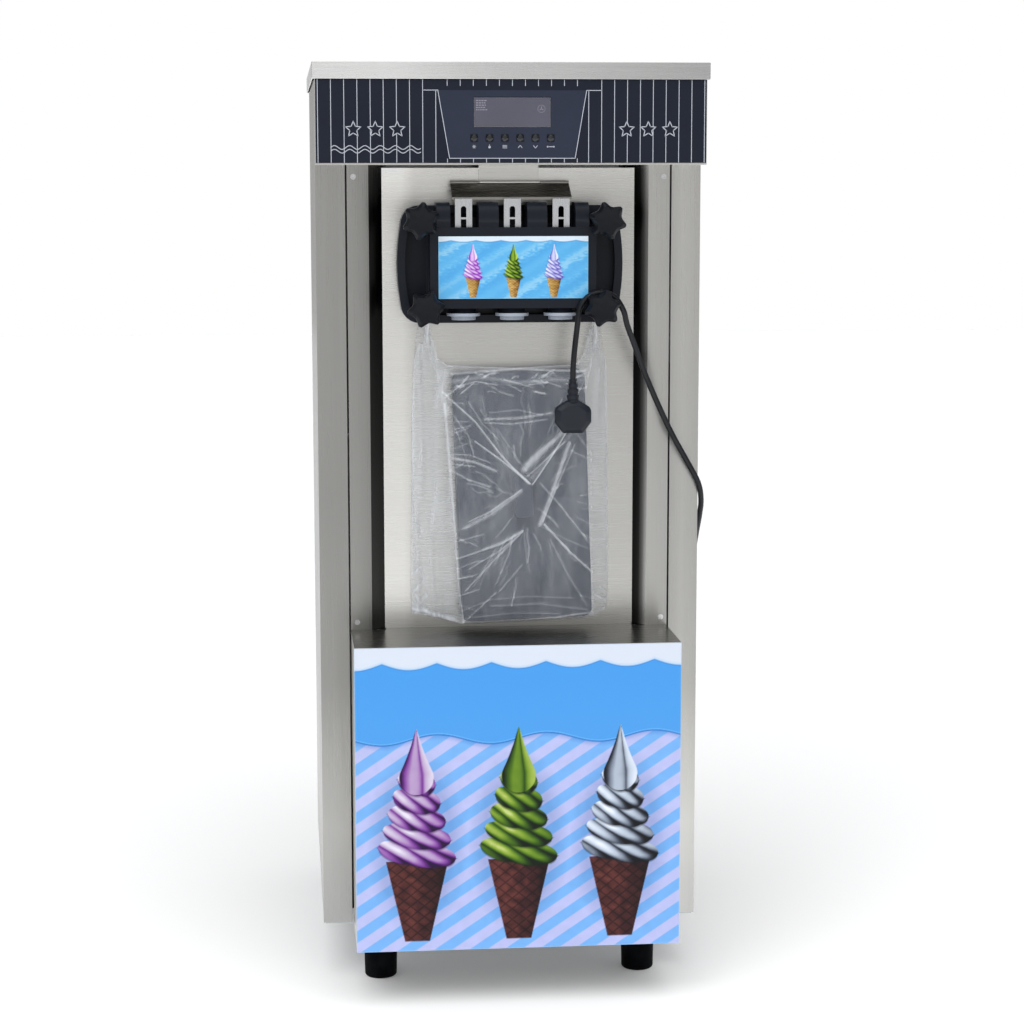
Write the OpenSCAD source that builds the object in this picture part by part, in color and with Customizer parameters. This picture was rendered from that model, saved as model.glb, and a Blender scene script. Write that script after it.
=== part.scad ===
// Floor-standing soft-serve ice cream machine: two freezing cylinders, three draw spouts.
// Units are millimetres. The origin is on the floor, under the middle of the cabinet.
// +Z is up and -Y is the front.

/* [Cabinet] */
// Width over the side panels
cab_w = 540; // [520:1:560]
// Depth from the lower front panel to the rear panel
cab_d = 700; // [680:1:740]
// Height of the feet
foot_h = 80; // [60:1:100]
// Height of the body from its underside to the top of the lid
body_h = 1225; // [1215:1:1240]
// Thickness of the stainless sheet
sheet_t = 1.2; // [1:0.1:1.5]
// How far the lower box stands out of the upper front
box_out = 135; // [120:1:150]
// Width of the lower box
box_w = 453; // [440:1:456]
// Height of the ledge above the underside of the body
ledge_h = 431; // [415:1:440]

/* [Header] */
// Height of the header box
header_h = 116; // [110:1:120]
// How far the header stands out of the upper front
header_out = 49; // [45:1:52]
// Height of the lid's skirt
lid_h = 23; // [20:1:25]
// How far the lid reaches past the cabinet on each side
lid_over = 3.7; // [2:0.1:5]
// Diameter of a control button
button_d = 10; // [8:0.5:11]
// Distance between two buttons
button_pitch = 21.1; // [19:0.1:22]
// Travel of a button
button_travel = 1.2; // [0.8:0.1:1.4]

/* [Dispensing head] */
// Height of the head's centre above the underside of the body
head_h = 949; // [940:1:955]
// Distance between two spouts
spout_pitch = 67.5; // [66:0.5:69]
// Width of the head's flange at its middle
flange_w = 316; // [314:1:320]
// Height of the head's flange
flange_h = 163; // [161:1:166]
// Lift of a draw plunger
draw_lift = 18; // [10:1:18]
// Tip radius of a star knob
knob_r = 26; // [24:0.5:27]
// Radius of a star knob's neck
neck_r = 9.5; // [9:0.1:9.5]
// Radius of the collar behind a star knob's head
collar_r = 16; // [15:0.1:16]

/* [Hoppers and drive] */
// Width of a hopper's mouth
hopper_w = 176; // [170:1:180]
// Length of a hopper's mouth
hopper_l = 340; // [330:1:345]
// Depth of a hopper
hopper_depth = 185; // [170:1:190]
// Inside radius of a freezing cylinder
cyl_r = 42; // [40:0.5:43]
// Length of a freezing cylinder
cyl_l = 300; // [280:1:310]
// Radius of the drive motor
motor_r = 60; // [55:1:62]

/* [Cord] */
// Diameter of the power cord
cord_d = 8; // [7:0.5:8]

/* [Hidden] */

steel = "gainsboro";
black = "#202226";
t = sheet_t;

// Levels of the body
body_z = foot_h;
ledge_z = body_z + ledge_h;
top_z = body_z + body_h;
lid_z = top_z - lid_h;
header_z = lid_z - header_h;
head_z = body_z + head_h;

// Planes across the depth, front to rear
front_y = -cab_d / 2;
face_y = front_y + box_out;
splash_y = face_y + 11.5;
rear_y = cab_d / 2;
header_y = face_y - header_out;
side_x = cab_w / 2;
box_x = box_w / 2;

// Upper front panel: flat stiles, slanted returns and a recessed splash plate
stile_in = box_x - 30;
splash_x = stile_in - 18.8;
side_lip = 41;
screw_xs = [9 - box_x, box_x - 9];
screw_zs = [ledge_z + 11.5, header_z - 16];

// Dispensing head
flange_t = 26;
web_t = 10;
rim_w = 11;
flange_y = splash_y - flange_t;
block_x = 115;
block_top = head_z + 52;
block_bottom = head_z - 59;
block_y = face_y - 62;
ear_top = head_z + 86;
ear_out = 105.5;
bay_w = 38;
bay_floor = head_z + 37;
plunger_y = face_y - 39;
plunger_r = 12;
spout_r = 18;
spout_end = head_z - 66;
pin_y = face_y - 32;
pin_z = head_z + 76;
pin_r = 4.1;
knob_gap = 0.4;
hinge_y = face_y - 2;
hinge_z = head_z + 113;
flap_x = 83;
flap_drop = 20;
flap_y = face_y - 40;
knob_back = face_y - 73.5;
knob_t = 17;
collar_l = 9.6;
stud_r = 5;
knob_spots = [[-128, 61], [128, 61], [-121.5, -58.5], [121.5, -58.5]];
knob_turn = [8, -14, 20, 14];

// Freezing cylinders, their drive and the hoppers over them
cyl_x = spout_pitch;
cyl_t = 3;
jacket_r = cyl_r + 10;
cyl_back = splash_y + t + cyl_l;
neck_y = cyl_back - 60;
shaft_r = 8;
shaft_gap = 0.1;
gear_m = 2 * cyl_x / 80;
gear_teeth = 64;
pinion_teeth = 16;
case_front = cyl_back + 22;
case_d = 52;
case_back = case_front + case_d;
gear_y = case_front + 16;
gear_w = 20;
pulley_y = case_back + 8;
pulley_w = 20;
pulley_r = 50;
motor_pulley_r = 25;
motor_z = head_z - 172;
belt_t = 4;
shelf_z = motor_z - motor_r - 10;
hopper_x = 100;
hopper_y = 40;
rim = 4.5;
hopper_z = top_z - hopper_depth;

// Refrigeration
fan_x = 95;
fan_z = body_z + 190;
fan_r = 118;
condenser_y = rear_y - 110;
comp_x = -125;
comp_y = 40;
comp_r = 78;

// Control board and its buttons
button_z = header_z + 36.4;
fascia_y = header_y + 1.5;

// Power cord: chosen points from the gland, round the right side and over a knob to the plug
gland_x = 200;
gland_z = body_z + 350;
cord_pts = [
  [200, 372, 430], [200, 392, 427], [204, 412, 416], [216, 429, 398], [236, 436, 376],
  [257, 427, 359], [271, 405, 350], [276, 376, 347], [277, 340, 346], [277, 300, 347],
  [277, 250, 353.5], [277, 200, 366], [277, 150, 384], [277, 100, 408], [277, 50, 437.5],
  [277, 0, 473], [277, -50, 515], [277, -100, 562], [277, -140, 604], [276.5, -172, 640],
  [276.5, -196, 668], [275.5, -213, 692], [269, -224, 718], [250, -231, 752], [228, -239, 790],
  [206, -248, 834], [186, -257, 878], [170, -266, 918], [158.5, -275, 946], [152.5, -281, 966],
  [139, -283.7, 985.8], [121, -283.7, 991.5], [103, -283.7, 985.8], [91.5, -283.7, 970.5],
  [88.5, -284, 951], [86, -284, 930], [83.5, -284, 906], [82, -284, 884], [82, -284, 872]
];
cord_sides = 12;
plug_x = 82;
plug_y = -284;
plug_z = 842;

// Accessory bag and the two hopper covers inside it
bag_x = 2;
bag_w = 284;
bag_y0 = face_y - 36;
bag_y1 = splash_y - 1.5;
bag_z0 = ledge_z + 3;
bag_z1 = head_z - 96;
bag_t = 1.5;
cover_w = 186;
cover_l = 352;
cover_t = 14;
grip_t = 11;
cover_x = 17;
cover_tilt = 2;
cover_gap = 1;
cover_z = ledge_z + 192;

// Draws a box from its two corners
module box(lo, hi) {
  translate(lo) cube(hi - lo);
}

// Round bar or hole along Y, from the y of its front end
module rod_y(x, y, z, r, l, fn = 48) {
  translate([x, y, z]) rotate([-90, 0, 0]) cylinder(r = r, h = l, $fn = fn);
}

// Round bar or hole along X, from the x of its left end
module rod_x(x, y, z, r, l, fn = 48) {
  translate([x, y, z]) rotate([0, 90, 0]) cylinder(r = r, h = l, $fn = fn);
}

// Extrudes an outline drawn in the XZ plane from y to y + l
module slab_y(y, l) {
  translate([0, y + l, 0]) rotate([90, 0, 0]) linear_extrude(height = l) children();
}

// Extrudes an outline drawn in the YZ plane from x to x + l
module slab_x(x, l) {
  translate([x, 0, 0]) rotate([90, 0, 90]) linear_extrude(height = l) children();
}

// Rectangle with round corners, from its centre
module round_rect(w, h, r) {
  square([w - 2 * r, h], center = true);
  square([w, h - 2 * r], center = true);
  for (sx = [-1, 1], sy = [-1, 1])
    translate([sx * (w / 2 - r), sy * (h / 2 - r)]) circle(r = r, $fn = 48);
}

// ---- Cabinet ----

module base_tray() {
  color("silver") difference() {
    box([-side_x + 3, face_y + 2, body_z], [side_x - 3, rear_y - 3, body_z + 22]);
    box([-side_x + 5, face_y + 4, body_z + 2], [side_x - 5, rear_y - 5, body_z + 23]);
  }
}

module corner_post(sx, y, sy) {
  x0 = sx * (side_x - 6);
  z0 = body_z + 2;
  h = lid_z - 6 - z0;
  translate([x0, y, z0]) mirror([sx > 0 ? 1 : 0, 0, 0]) mirror([0, sy > 0 ? 1 : 0, 0])
    union() {
      cube([24, 2, h]);
      cube([2, 24, h]);
    }
}

module corner_posts() {
  color("darkgray") {
    for (sx = [-1, 1]) {
      corner_post(sx, face_y + 6, -1);
      corner_post(sx, rear_y - 6, 1);
    }
  }
}

module mid_shelf() {
  color("silver") box([-side_x + 34, splash_y + 10, shelf_z], [side_x - 34, rear_y - 40, shelf_z + 3]);
}

module side_panel(sx) {
  mirror([sx > 0 ? 1 : 0, 0, 0]) union() {
    box([-side_x, face_y, body_z + 2], [-side_x + t, rear_y, lid_z]);
    box([-side_x, face_y, body_z + 2], [-side_x + side_lip, face_y + t, header_z]);
    box([-side_x, rear_y - t, body_z + 2], [-side_x + 18, rear_y, lid_z]);
  }
}

module left_side_panel() {
  color(steel) side_panel(-1);
}

module right_side_panel() {
  color(steel) side_panel(1);
}

module rear_panel() {
  x1 = side_x - 19;
  color(steel) difference() {
    box([-x1, rear_y - t, body_z + 2], [x1, rear_y, lid_z]);
    for (i = [0:13])
      box([fan_x - 100, rear_y - 3, body_z + 100 + i * 14], [fan_x + 60, rear_y + 1, body_z + 105 + i * 14]);
    for (i = [0:9], sx = [-1, 1])
      box([sx * 120 - 60, rear_y - 3, shelf_z + 60 + i * 14], [sx * 120 + 60, rear_y + 1, shelf_z + 65 + i * 14]);
    rod_y(gland_x, rear_y - 3, gland_z, 8, 6);
  }
}

// Plan of the front panel: stile, slanted return, splash plate and the same again
module front_outline() {
  half = [[box_x, face_y], [stile_in, face_y], [splash_x, splash_y]];
  back = [[splash_x - 0.3, splash_y + t], [stile_in - 0.3, face_y + t], [box_x, face_y + t]];
  left = [for (p = half) [-p[0], p[1]]];
  right = [for (i = [2:-1:0]) half[i]];
  right_back = [for (i = [2:-1:0]) back[i]];
  left_back = [for (p = back) [-p[0], p[1]]];
  polygon(concat(left, right, right_back, left_back));
}

module front_panel() {
  gap = 4;
  color(steel) difference() {
    translate([0, 0, ledge_z]) linear_extrude(height = header_z - ledge_z) front_outline();
    box([-splash_x, splash_y - 1, header_z - gap], [splash_x, splash_y + 3, header_z + 1]);
    for (sx = [-1, 1]) rod_y(sx * cyl_x, splash_y - 3, head_z, cyl_r + 4, 6, 96);
    for (p = knob_spots) rod_y(p[0], splash_y - 3, head_z + p[1], stud_r + 0.3, 6);
    for (x = screw_xs, z = screw_zs) rod_y(x, face_y - 3, z, 2.2, 6);
  }
}

module panel_screws() {
  slot = 0.5;
  color("silver") for (x = screw_xs, z = screw_zs) difference() {
    union() {
      rod_y(x, face_y - 1.6, z, 4, 1.6);
      rod_y(x, face_y - 1, z, 2, 10, 24);
    }
    box([x - 3, face_y - 2, z - slot], [x + 3, face_y - 1, z + slot]);
    box([x - slot, face_y - 2, z - 3], [x + slot, face_y - 1, z + 3]);
  }
}

module lower_box() {
  y0 = front_y + 1.1;
  color(steel) difference() {
    box([-box_x, y0, body_z], [box_x, face_y, ledge_z]);
    box([-box_x + t, y0 + t, body_z - 1], [box_x - t, face_y + 1, ledge_z - t]);
  }
  color(steel) box([-splash_x + 1, face_y, ledge_z - t], [splash_x - 1, splash_y, ledge_z]);
}

module decor_panel() {
  color("lightskyblue") box([-box_x, front_y, body_z], [box_x, front_y + 1.1, ledge_z - 6]);
}

module foot() {
  r = 24.6;
  color(black) rotate_extrude($fn = 64)
    polygon([[0, 0], [r - 4, 0], [r - 1.5, 2.5], [r, foot_h - 4], [r, foot_h], [0, foot_h]]);
}

module feet() {
  for (x = [-188, 188], y = [face_y + 8, rear_y - 46]) translate([x, y, 0]) foot();
}

// ---- Header and lid ----

module header_box() {
  tongue_x = 42;
  color(steel) difference() {
    box([-side_x, fascia_y, header_z], [side_x, face_y, lid_z]);
    box([-side_x + t, fascia_y + t, header_z + t], [side_x - t, face_y + 1, lid_z + 1]);
    box([-44, fascia_y - 1, header_z + 55], [44, fascia_y + 3, header_z + 87]);
    for (i = [0:5]) rod_y(button_x(i), fascia_y - 1, button_z, button_d / 2 + 0.3, 4);
  }
  color(steel) box([-splash_x, face_y, header_z], [splash_x, splash_y - 0.2, header_z + t]);
  color("dimgray") {
    box([-tongue_x, splash_y - 1.7, hinge_z - 0.6], [tongue_x, splash_y - 0.2, header_z]);
    box([-tongue_x, hinge_y, hinge_z - 0.6], [tongue_x, splash_y - 1.7, hinge_z + 0.6]);
    rod_x(-tongue_x, hinge_y, hinge_z, 2.4, 2 * tongue_x);
    rod_x(-81, hinge_y, hinge_z, 1, 162);
  }
}

module control_fascia() {
  color("#1c2236") difference() {
    box([-side_x + 0.8, header_y, header_z + 2.5], [side_x - 0.8, fascia_y, lid_z]);
    box([-52.7, header_y - 1, header_z + 51.5], [52.7, fascia_y + 1, header_z + 91]);
    for (i = [0:5]) rod_y(button_x(i), header_y - 1, button_z, button_d / 2 + 0.3, 4);
  }
}

module display_window() {
  color("slategray") box([-52.4, header_y + 0.4, header_z + 51.8], [52.4, fascia_y, header_z + 90.7]);
}

module control_board() {
  y0 = fascia_y + 9;
  color("seagreen") {
    box([-70, y0, header_z + 20], [70, y0 + 1.6, header_z + 98]);
    box([-40, fascia_y + t + 1, header_z + 58], [40, y0, header_z + 84]);
    for (i = [0:5]) box([button_x(i) - 3, y0 - 3.5, button_z - 3], [button_x(i) + 3, y0, button_z + 3]);
    for (i = [-1, 1]) box([i * 50 - 12, y0 + 1.6, header_z + 30], [i * 50 + 12, y0 + 17, header_z + 46]);
  }
}

// A domed cap, a stem through the fascia and a collar that keeps it in
module button(i) {
  r = button_d / 2;
  color(black) translate([button_x(i), header_y, button_z]) rotate([-90, 0, 0]) rotate_extrude($fn = 48)
    polygon([
      [0, -2.6], [r * 0.4, -2.5], [r * 0.75, -2], [r * 0.94, -1.2], [r, -0.2], [r, 1.5 + t + 0.3],
      [r + 1.5, 1.5 + t + 0.3], [r + 1.5, 1.5 + t + 1.5], [0, 1.5 + t + 1.5]
    ]);
}

module button_1() { button(0); }
module button_2() { button(1); }
module button_3() { button(2); }
module button_4() { button(3); }
module button_5() { button(4); }
module button_6() { button(5); }

module top_lid() {
  x = side_x + lid_over;
  y0 = header_y - 2.8;
  color(steel) difference() {
    box([-x, y0, lid_z], [x, rear_y, top_z]);
    box([-x + 1.5, y0 + 1.5, lid_z - 1], [x - 1.5, rear_y - 1.5, top_z - 1.5]);
    for (sx = [-1, 1])
      translate([sx * hopper_x, hopper_y, top_z - 5]) linear_extrude(height = 10)
        round_rect(hopper_w + 0.6, hopper_l + 0.6, 22);
  }
}

// ---- Hoppers and freezing cylinders ----

module hopper(sx) {
  color("lightgray") difference() {
    translate([sx * hopper_x, hopper_y, 0]) union() {
      translate([0, 0, hopper_z]) linear_extrude(height = hopper_depth) round_rect(hopper_w, hopper_l, 22);
      translate([0, 0, top_z]) linear_extrude(height = t)
        round_rect(hopper_w + 2 * rim, hopper_l + 2 * rim, 24);
    }
    translate([sx * hopper_x, hopper_y, hopper_z + t]) linear_extrude(height = hopper_depth + 10)
      round_rect(hopper_w - 2 * t, hopper_l - 2 * t, 20.8);
    translate([sx * cyl_x, neck_y, hopper_z - 1]) cylinder(r = 11, h = 5, $fn = 48);
  }
}

module hopper_left() { hopper(-1); }
module hopper_right() { hopper(1); }

// Tube with a jacket, a front flange, a rear wall with the shaft's bush and a filling neck
module freezing_cylinder(sx) {
  y0 = splash_y + t;
  color("silver") difference() {
    union() {
      rod_y(sx * cyl_x, y0, head_z, jacket_r + 8, 3, 96);
      rod_y(sx * cyl_x, y0, head_z, jacket_r, cyl_l, 96);
      rod_y(sx * cyl_x, y0 + cyl_l, head_z, 16, 12);
      translate([sx * cyl_x, neck_y, head_z]) cylinder(r = 14, h = hopper_z - head_z, $fn = 48);
    }
    rod_y(sx * cyl_x, y0 - 1, head_z, cyl_r, cyl_l - 5, 96);
    rod_y(sx * cyl_x, y0 + cyl_l - 10, head_z, shaft_r + shaft_gap, 40);
    translate([sx * cyl_x, neck_y, head_z]) cylinder(r = 11, h = hopper_z - head_z + 1, $fn = 48);
  }
}

module freezing_cylinder_left() { freezing_cylinder(-1); }
module freezing_cylinder_right() { freezing_cylinder(1); }

module cylinder_insulation() {
  y0 = splash_y + t + 8;
  color("lightyellow") difference() {
    box([-152, y0, head_z - 70], [152, cyl_back - 2, hopper_z - 4]);
    for (sx = [-1, 1]) {
      rod_y(sx * cyl_x, y0 - 1, head_z, jacket_r + 0.3, cyl_l, 96);
      translate([sx * cyl_x, neck_y, head_z]) cylinder(r = 14.3, h = 200, $fn = 48);
    }
  }
}

// Shaft with a two-start helical scraper
module beater(sx) {
  y0 = splash_y + t;
  blade_l = cyl_l - 26;
  color("whitesmoke") {
    rod_y(sx * cyl_x, y0 - 4, head_z, shaft_r, cyl_l + 60);
    rod_y(sx * cyl_x, y0 + 8, head_z, 15, 6);
    translate([sx * cyl_x, y0 + 8, head_z]) rotate([-90, 0, 0])
      linear_extrude(height = blade_l, twist = sx * 360, slices = 24) square([2 * cyl_r - 3, 5], center = true);
  }
}

module beater_left() { beater(-1); }
module beater_right() { beater(1); }

// Spur gear outline with trapezoid teeth and a little backlash
module gear_outline(teeth, turn) {
  r = gear_m * teeth / 2;
  step = 360 / teeth;
  tip = r + 0.85 * gear_m;
  root = r - 1.2 * gear_m;
  polygon([
    for (i = [0:teeth - 1], p = [[-0.31, root], [-0.13, tip], [0.13, tip], [0.31, root]])
      let (a = turn + (i + p[0]) * step) p[1] * [cos(a), sin(a)]
  ]);
}

module drive_gear(sx) {
  color("goldenrod") difference() {
    translate([sx * cyl_x, 0, head_z]) slab_y(gear_y, gear_w) gear_outline(gear_teeth, 180 / gear_teeth);
    rod_y(sx * cyl_x, gear_y - 1, head_z, shaft_r, gear_w + 2);
  }
}

module drive_gear_left() { drive_gear(-1); }
module drive_gear_right() { drive_gear(1); }

module pinion_shaft() {
  color("goldenrod") {
    translate([0, 0, head_z]) slab_y(gear_y, gear_w) gear_outline(pinion_teeth, 0);
    rod_y(0, case_front + 5, head_z, shaft_r, pulley_y + pulley_w - case_front);
  }
}

module gearbox_case() {
  x = 132;
  h = 65;
  w = 4;
  color("gray") difference() {
    union() {
      box([-x, case_front, head_z - h], [x, case_back, head_z + h]);
      for (sx = [-1, 1]) box([sx * 100 - 12, case_front + 6, shelf_z + 3], [sx * 100 + 12, case_back - 6, head_z - h]);
    }
    box([-x + w, case_front + w, head_z - h + w], [x - w, case_back - w, head_z + h - w]);
    for (sx = [-1, 1]) rod_y(sx * cyl_x, case_front - 1, head_z, shaft_r + shaft_gap, w + 2);
    rod_y(0, case_back - w - 1, head_z, shaft_r + shaft_gap, w + 2);
  }
}

// Grooved wheel for the belt
module pulley(z, r) {
  rod_y(0, pulley_y, z, r + belt_t, 3, 72);
  rod_y(0, pulley_y + 3, z, r, pulley_w - 6, 72);
  rod_y(0, pulley_y + pulley_w - 3, z, r + belt_t, 3, 72);
}

module gearbox_pulley() {
  color("dimgray") difference() {
    pulley(head_z, pulley_r);
    rod_y(0, pulley_y - 1, head_z, shaft_r, pulley_w + 2);
  }
}

module motor_pulley() {
  color("dimgray") {
    pulley(motor_z, motor_pulley_r);
    rod_y(0, pulley_y - 45, motor_z, shaft_r, 46);
  }
}

module belt_path(extra) {
  hull() {
    translate([0, head_z]) circle(r = pulley_r + extra, $fn = 72);
    translate([0, motor_z]) circle(r = motor_pulley_r + extra, $fn = 72);
  }
}

module drive_belt() {
  color(black) slab_y(pulley_y + 3.5, pulley_w - 7) difference() {
    belt_path(0.4 + belt_t);
    belt_path(0.4);
  }
}

module drive_motor() {
  y1 = pulley_y - 6;
  y0 = y1 - 160;
  color("steelblue") difference() {
    union() {
      rod_y(0, y0, motor_z, motor_r - 6, 160, 72);
      rod_y(0, y0 + 14, motor_z, motor_r, 110, 72);
      box([-45, y0 + 24, shelf_z + 3], [45, y0 + 100, motor_z - motor_r + 14]);
      box([-30, y0 + 34, motor_z + motor_r - 8], [30, y0 + 90, motor_z + motor_r + 16]);
    }
    rod_y(0, y1 - 42, motor_z, shaft_r + shaft_gap, 60);
  }
}

// ---- Refrigeration ----

module compressor() {
  z0 = body_z + 2;
  color(black) {
    translate([comp_x, comp_y, z0 + 22]) cylinder(r = comp_r, h = 130, $fn = 72);
    translate([comp_x, comp_y, z0 + 152]) cylinder(r1 = comp_r, r2 = comp_r - 22, h = 22, $fn = 72);
    translate([comp_x, comp_y, z0 + 8]) cylinder(r1 = comp_r - 14, r2 = comp_r, h = 14, $fn = 72);
    box([comp_x - 90, comp_y - 60, z0 + 8], [comp_x + 90, comp_y + 60, z0 + 11]);
    for (sx = [-1, 1], sy = [-1, 1])
      translate([comp_x + sx * 80, comp_y + sy * 50, z0]) cylinder(r = 9, h = 8, $fn = 32);
    box([comp_x + comp_r - 8, comp_y - 25, z0 + 60], [comp_x + comp_r + 22, comp_y + 25, z0 + 110]);
  }
}

module condenser() {
  z0 = body_z + 60;
  color("lightgray") {
    box([fan_x - 140, condenser_y, z0], [fan_x - 136, condenser_y + 44, z0 + 260]);
    box([fan_x + 136, condenser_y, z0], [fan_x + 140, condenser_y + 44, z0 + 260]);
    for (i = [0:21]) box([fan_x - 136, condenser_y + 2, z0 + 6 + i * 12], [fan_x + 136, condenser_y + 42, z0 + 7 + i * 12]);
    for (sx = [-1, 1]) box([fan_x + sx * 138 - 8, condenser_y + 4, body_z + 2], [fan_x + sx * 138 + 8, condenser_y + 40, z0]);
  }
}

module fan_motor() {
  color("dimgray") {
    difference() {
      rod_y(fan_x, condenser_y - 112, fan_z, 34, 50);
      rod_y(fan_x, condenser_y - 72, fan_z, 4.1, 11);
    }
    for (sx = [-1, 1]) {
      box([fan_x + sx * 94 - 68, condenser_y - 96, fan_z - 6], [fan_x + sx * 94 + 68, condenser_y - 84, fan_z + 6]);
      box([fan_x + sx * 156 - 6, condenser_y - 96, body_z + 2], [fan_x + sx * 156 + 6, condenser_y - 84, fan_z + 6]);
    }
  }
}

// Hub with five pitched blades
module fan_blade() {
  y0 = condenser_y - 58;
  color("dodgerblue") {
    rod_y(fan_x, y0, fan_z, 26, 26);
    rod_y(fan_x, y0 - 12, fan_z, 4, 13);
    for (i = [0:4]) translate([fan_x, y0 + 13, fan_z]) rotate([0, i * 72, 0])
      rotate([0, 0, 28]) translate([-24, -1.2, 18]) cube([48, 2.4, fan_r - 22]);
  }
}

// ---- Dispensing head ----

// Half-outline points of the flange: short straight top, round corner, bulged side
module flange_outline(inset) {
  w = flange_w / 2 - inset;
  h = flange_h / 2 - inset;
  corner = 26 - inset * 0.6;
  bulge = 5;
  side_r = (pow(h - corner, 2) + bulge * bulge) / (2 * bulge);
  quarter = concat(
    [for (i = [0:5]) let (a = 90 - i * 15) [w - bulge - corner + corner * cos(a), h - corner + corner * sin(a)]],
    [for (i = [1:5]) let (z = (h - corner) * (1 - i / 5)) [w - side_r + sqrt(side_r * side_r - z * z), z]]
  );
  lower = [for (i = [len(quarter) - 2:-1:0]) [quarter[i][0], -quarter[i][1]]];
  right = concat(quarter, lower);
  left = [for (i = [len(right) - 1:-1:0]) [-right[i][0], right[i][1]]];
  translate([0, head_z]) polygon(concat(right, left));
}

// Side view of an ear: flat top, round front shoulder
module ear_outline() {
  r = 18;
  front = block_y + 4;
  polygon(concat(
    [[flange_y + 1, block_top - 20], [flange_y + 1, ear_top]],
    [for (i = [0:6]) let (a = 90 + i * 15) [front + r + r * cos(a), ear_top - r + r * sin(a)]],
    [[front, block_top - 20]]
  ));
}

module head_body() {
  slab_y(splash_y - web_t, web_t) flange_outline(0);
  difference() {
    slab_y(flange_y, flange_t) flange_outline(0);
    slab_y(flange_y - 1, flange_t - web_t + 1) flange_outline(rim_w);
  }
  for (p = knob_spots) rod_y(p[0], flange_y, head_z + p[1], 14, flange_t - 2);
  box([-block_x, block_y, block_bottom], [block_x, splash_y - 2, block_top]);
  for (sx = [-1, 1]) {
    slab_x(sx > 0 ? 85.5 : -ear_out, 20) ear_outline();
    slab_x(sx * 33.5 - 13.8, 27.6) ear_outline();
  }
  for (i = [-1:1]) translate([i * spout_pitch, plunger_y, spout_end])
    cylinder(r = spout_r, h = block_bottom - spout_end + 1, $fn = 64);
}

module dispensing_head() {
  color(black) difference() {
    head_body();
    for (i = [-1:1]) {
      box([i * spout_pitch - bay_w / 2, block_y + 4, bay_floor],
          [i * spout_pitch + bay_w / 2, flange_y - 2, ear_top + 1]);
      translate([i * spout_pitch, plunger_y, spout_end - 1])
        cylinder(r = plunger_r + 0.1, h = bay_floor - spout_end + 2, $fn = 64);
      rod_y(i * spout_pitch, plunger_y, head_z - 28, 7, splash_y - plunger_y - 8);
    }
    for (sx = [-1, 1]) rod_y(sx * cyl_x, splash_y - 12, head_z, cyl_r, 14, 96);
    for (sx = [-1, 1]) rod_y(sx * cyl_x, splash_y - 1.2, head_z, cyl_r + 4, 3, 96);
    rod_x(-cyl_x, splash_y - 12, head_z - 28, 7, 2 * cyl_x);
    rod_x(-ear_out - 1, pin_y, pin_z, pin_r, 2 * ear_out + 2);
    for (p = knob_spots) rod_y(p[0], flange_y - 1, head_z + p[1], stud_r + 0.3, flange_t + 2);
    for (i = [2, 3]) rod_y(knob_spots[i][0], block_y - 1, head_z + knob_spots[i][1], neck_r + 3.5, flange_y - block_y + 1);
  }
}

module head_picture() {
  color("lightskyblue") box([-103.4, block_y - 1.5, head_z - 45.5], [103.4, block_y, head_z + 39.8]);
}

module head_studs() {
  color("silver") for (p = knob_spots) {
    rod_y(p[0], knob_back - 8, head_z + p[1], stud_r, splash_y + t + 14 - knob_back);
    rod_y(p[0], splash_y + t, head_z + p[1], 9, 6, 6);
  }
}

module head_seals() {
  color("ivory") for (sx = [-1, 1]) difference() {
    rod_y(sx * cyl_x, splash_y - 1.2, head_z, cyl_r + 3.9, 1.2 + t, 96);
    rod_y(sx * cyl_x, splash_y - 2, head_z, cyl_r + 0.6, 4, 96);
  }
}

// Six-lobed star knob with a long neck and a blind bore for its stud
module knob(i) {
  p = knob_spots[i];
  y0 = knob_back - knob_t;
  color(black) difference() {
    union() {
      rod_y(p[0], knob_back - 1, head_z + p[1], neck_r, flange_y - knob_gap - knob_back + 1);
      rod_y(p[0], knob_back - 1, head_z + p[1], collar_r, collar_l + 1, 64);
      translate([p[0], 0, head_z + p[1]]) slab_y(y0, knob_t) difference() {
        circle(r = knob_r, $fn = 96);
        for (k = [0:5]) rotate(knob_turn[i] + k * 60) translate([knob_r + 10, 0]) circle(r = 16.5, $fn = 48);
      }
    }
    rod_y(p[0], knob_back - 9, head_z + p[1], stud_r + 0.1, 80);
  }
}

module knob_top_left() { knob(0); }
module knob_top_right() { knob(1); }
module knob_bottom_left() { knob(2); }
module knob_bottom_right() { knob(3); }

// Star caps that close the three spouts
module nozzle_caps() {
  color("whitesmoke") for (i = [-1:1]) translate([i * spout_pitch, plunger_y, spout_end - 4.2]) difference() {
    union() {
      cylinder(r = 23.2, h = 4.2, $fn = 72);
      translate([0, 0, -5.4]) cylinder(r = 16.8, h = 5.6, $fn = 64);
    }
    translate([0, 0, -6]) linear_extrude(height = 11) for (k = [0:2]) rotate(k * 60) square([17, 4], center = true);
  }
}

// Piston and the slotted steel fork that lifts it
module draw_plunger(i) {
  x = i * spout_pitch;
  fork_y = face_y - 47;
  fork_top = head_z + 91;
  color("silver") {
    difference() {
      translate([x, plunger_y, spout_end + 3]) cylinder(r = plunger_r, h = bay_floor + 12 - spout_end - 3, $fn = 64);
      box([x - 20, plunger_y - 20, bay_floor + 0.5], [x + 20, fork_y + 2, bay_floor + 30]);
    }
    difference() {
      box([x - 11.8, fork_y, bay_floor + 1], [x + 11.8, fork_y + 2, fork_top]);
      box([x - 3.8, fork_y - 1, head_z + 65.5], [x + 3.8, fork_y + 3, head_z + 77]);
      rod_y(x, fork_y - 1, head_z + 77, 3.8, 4);
      box([x - 3.8, fork_y - 1, bay_floor + 14], [x + 3.8, fork_y + 3, head_z + 62.8]);
    }
    rod_y(x, fork_y - 1.2, bay_floor + 7, 3, 6, 32);
  }
}

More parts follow.
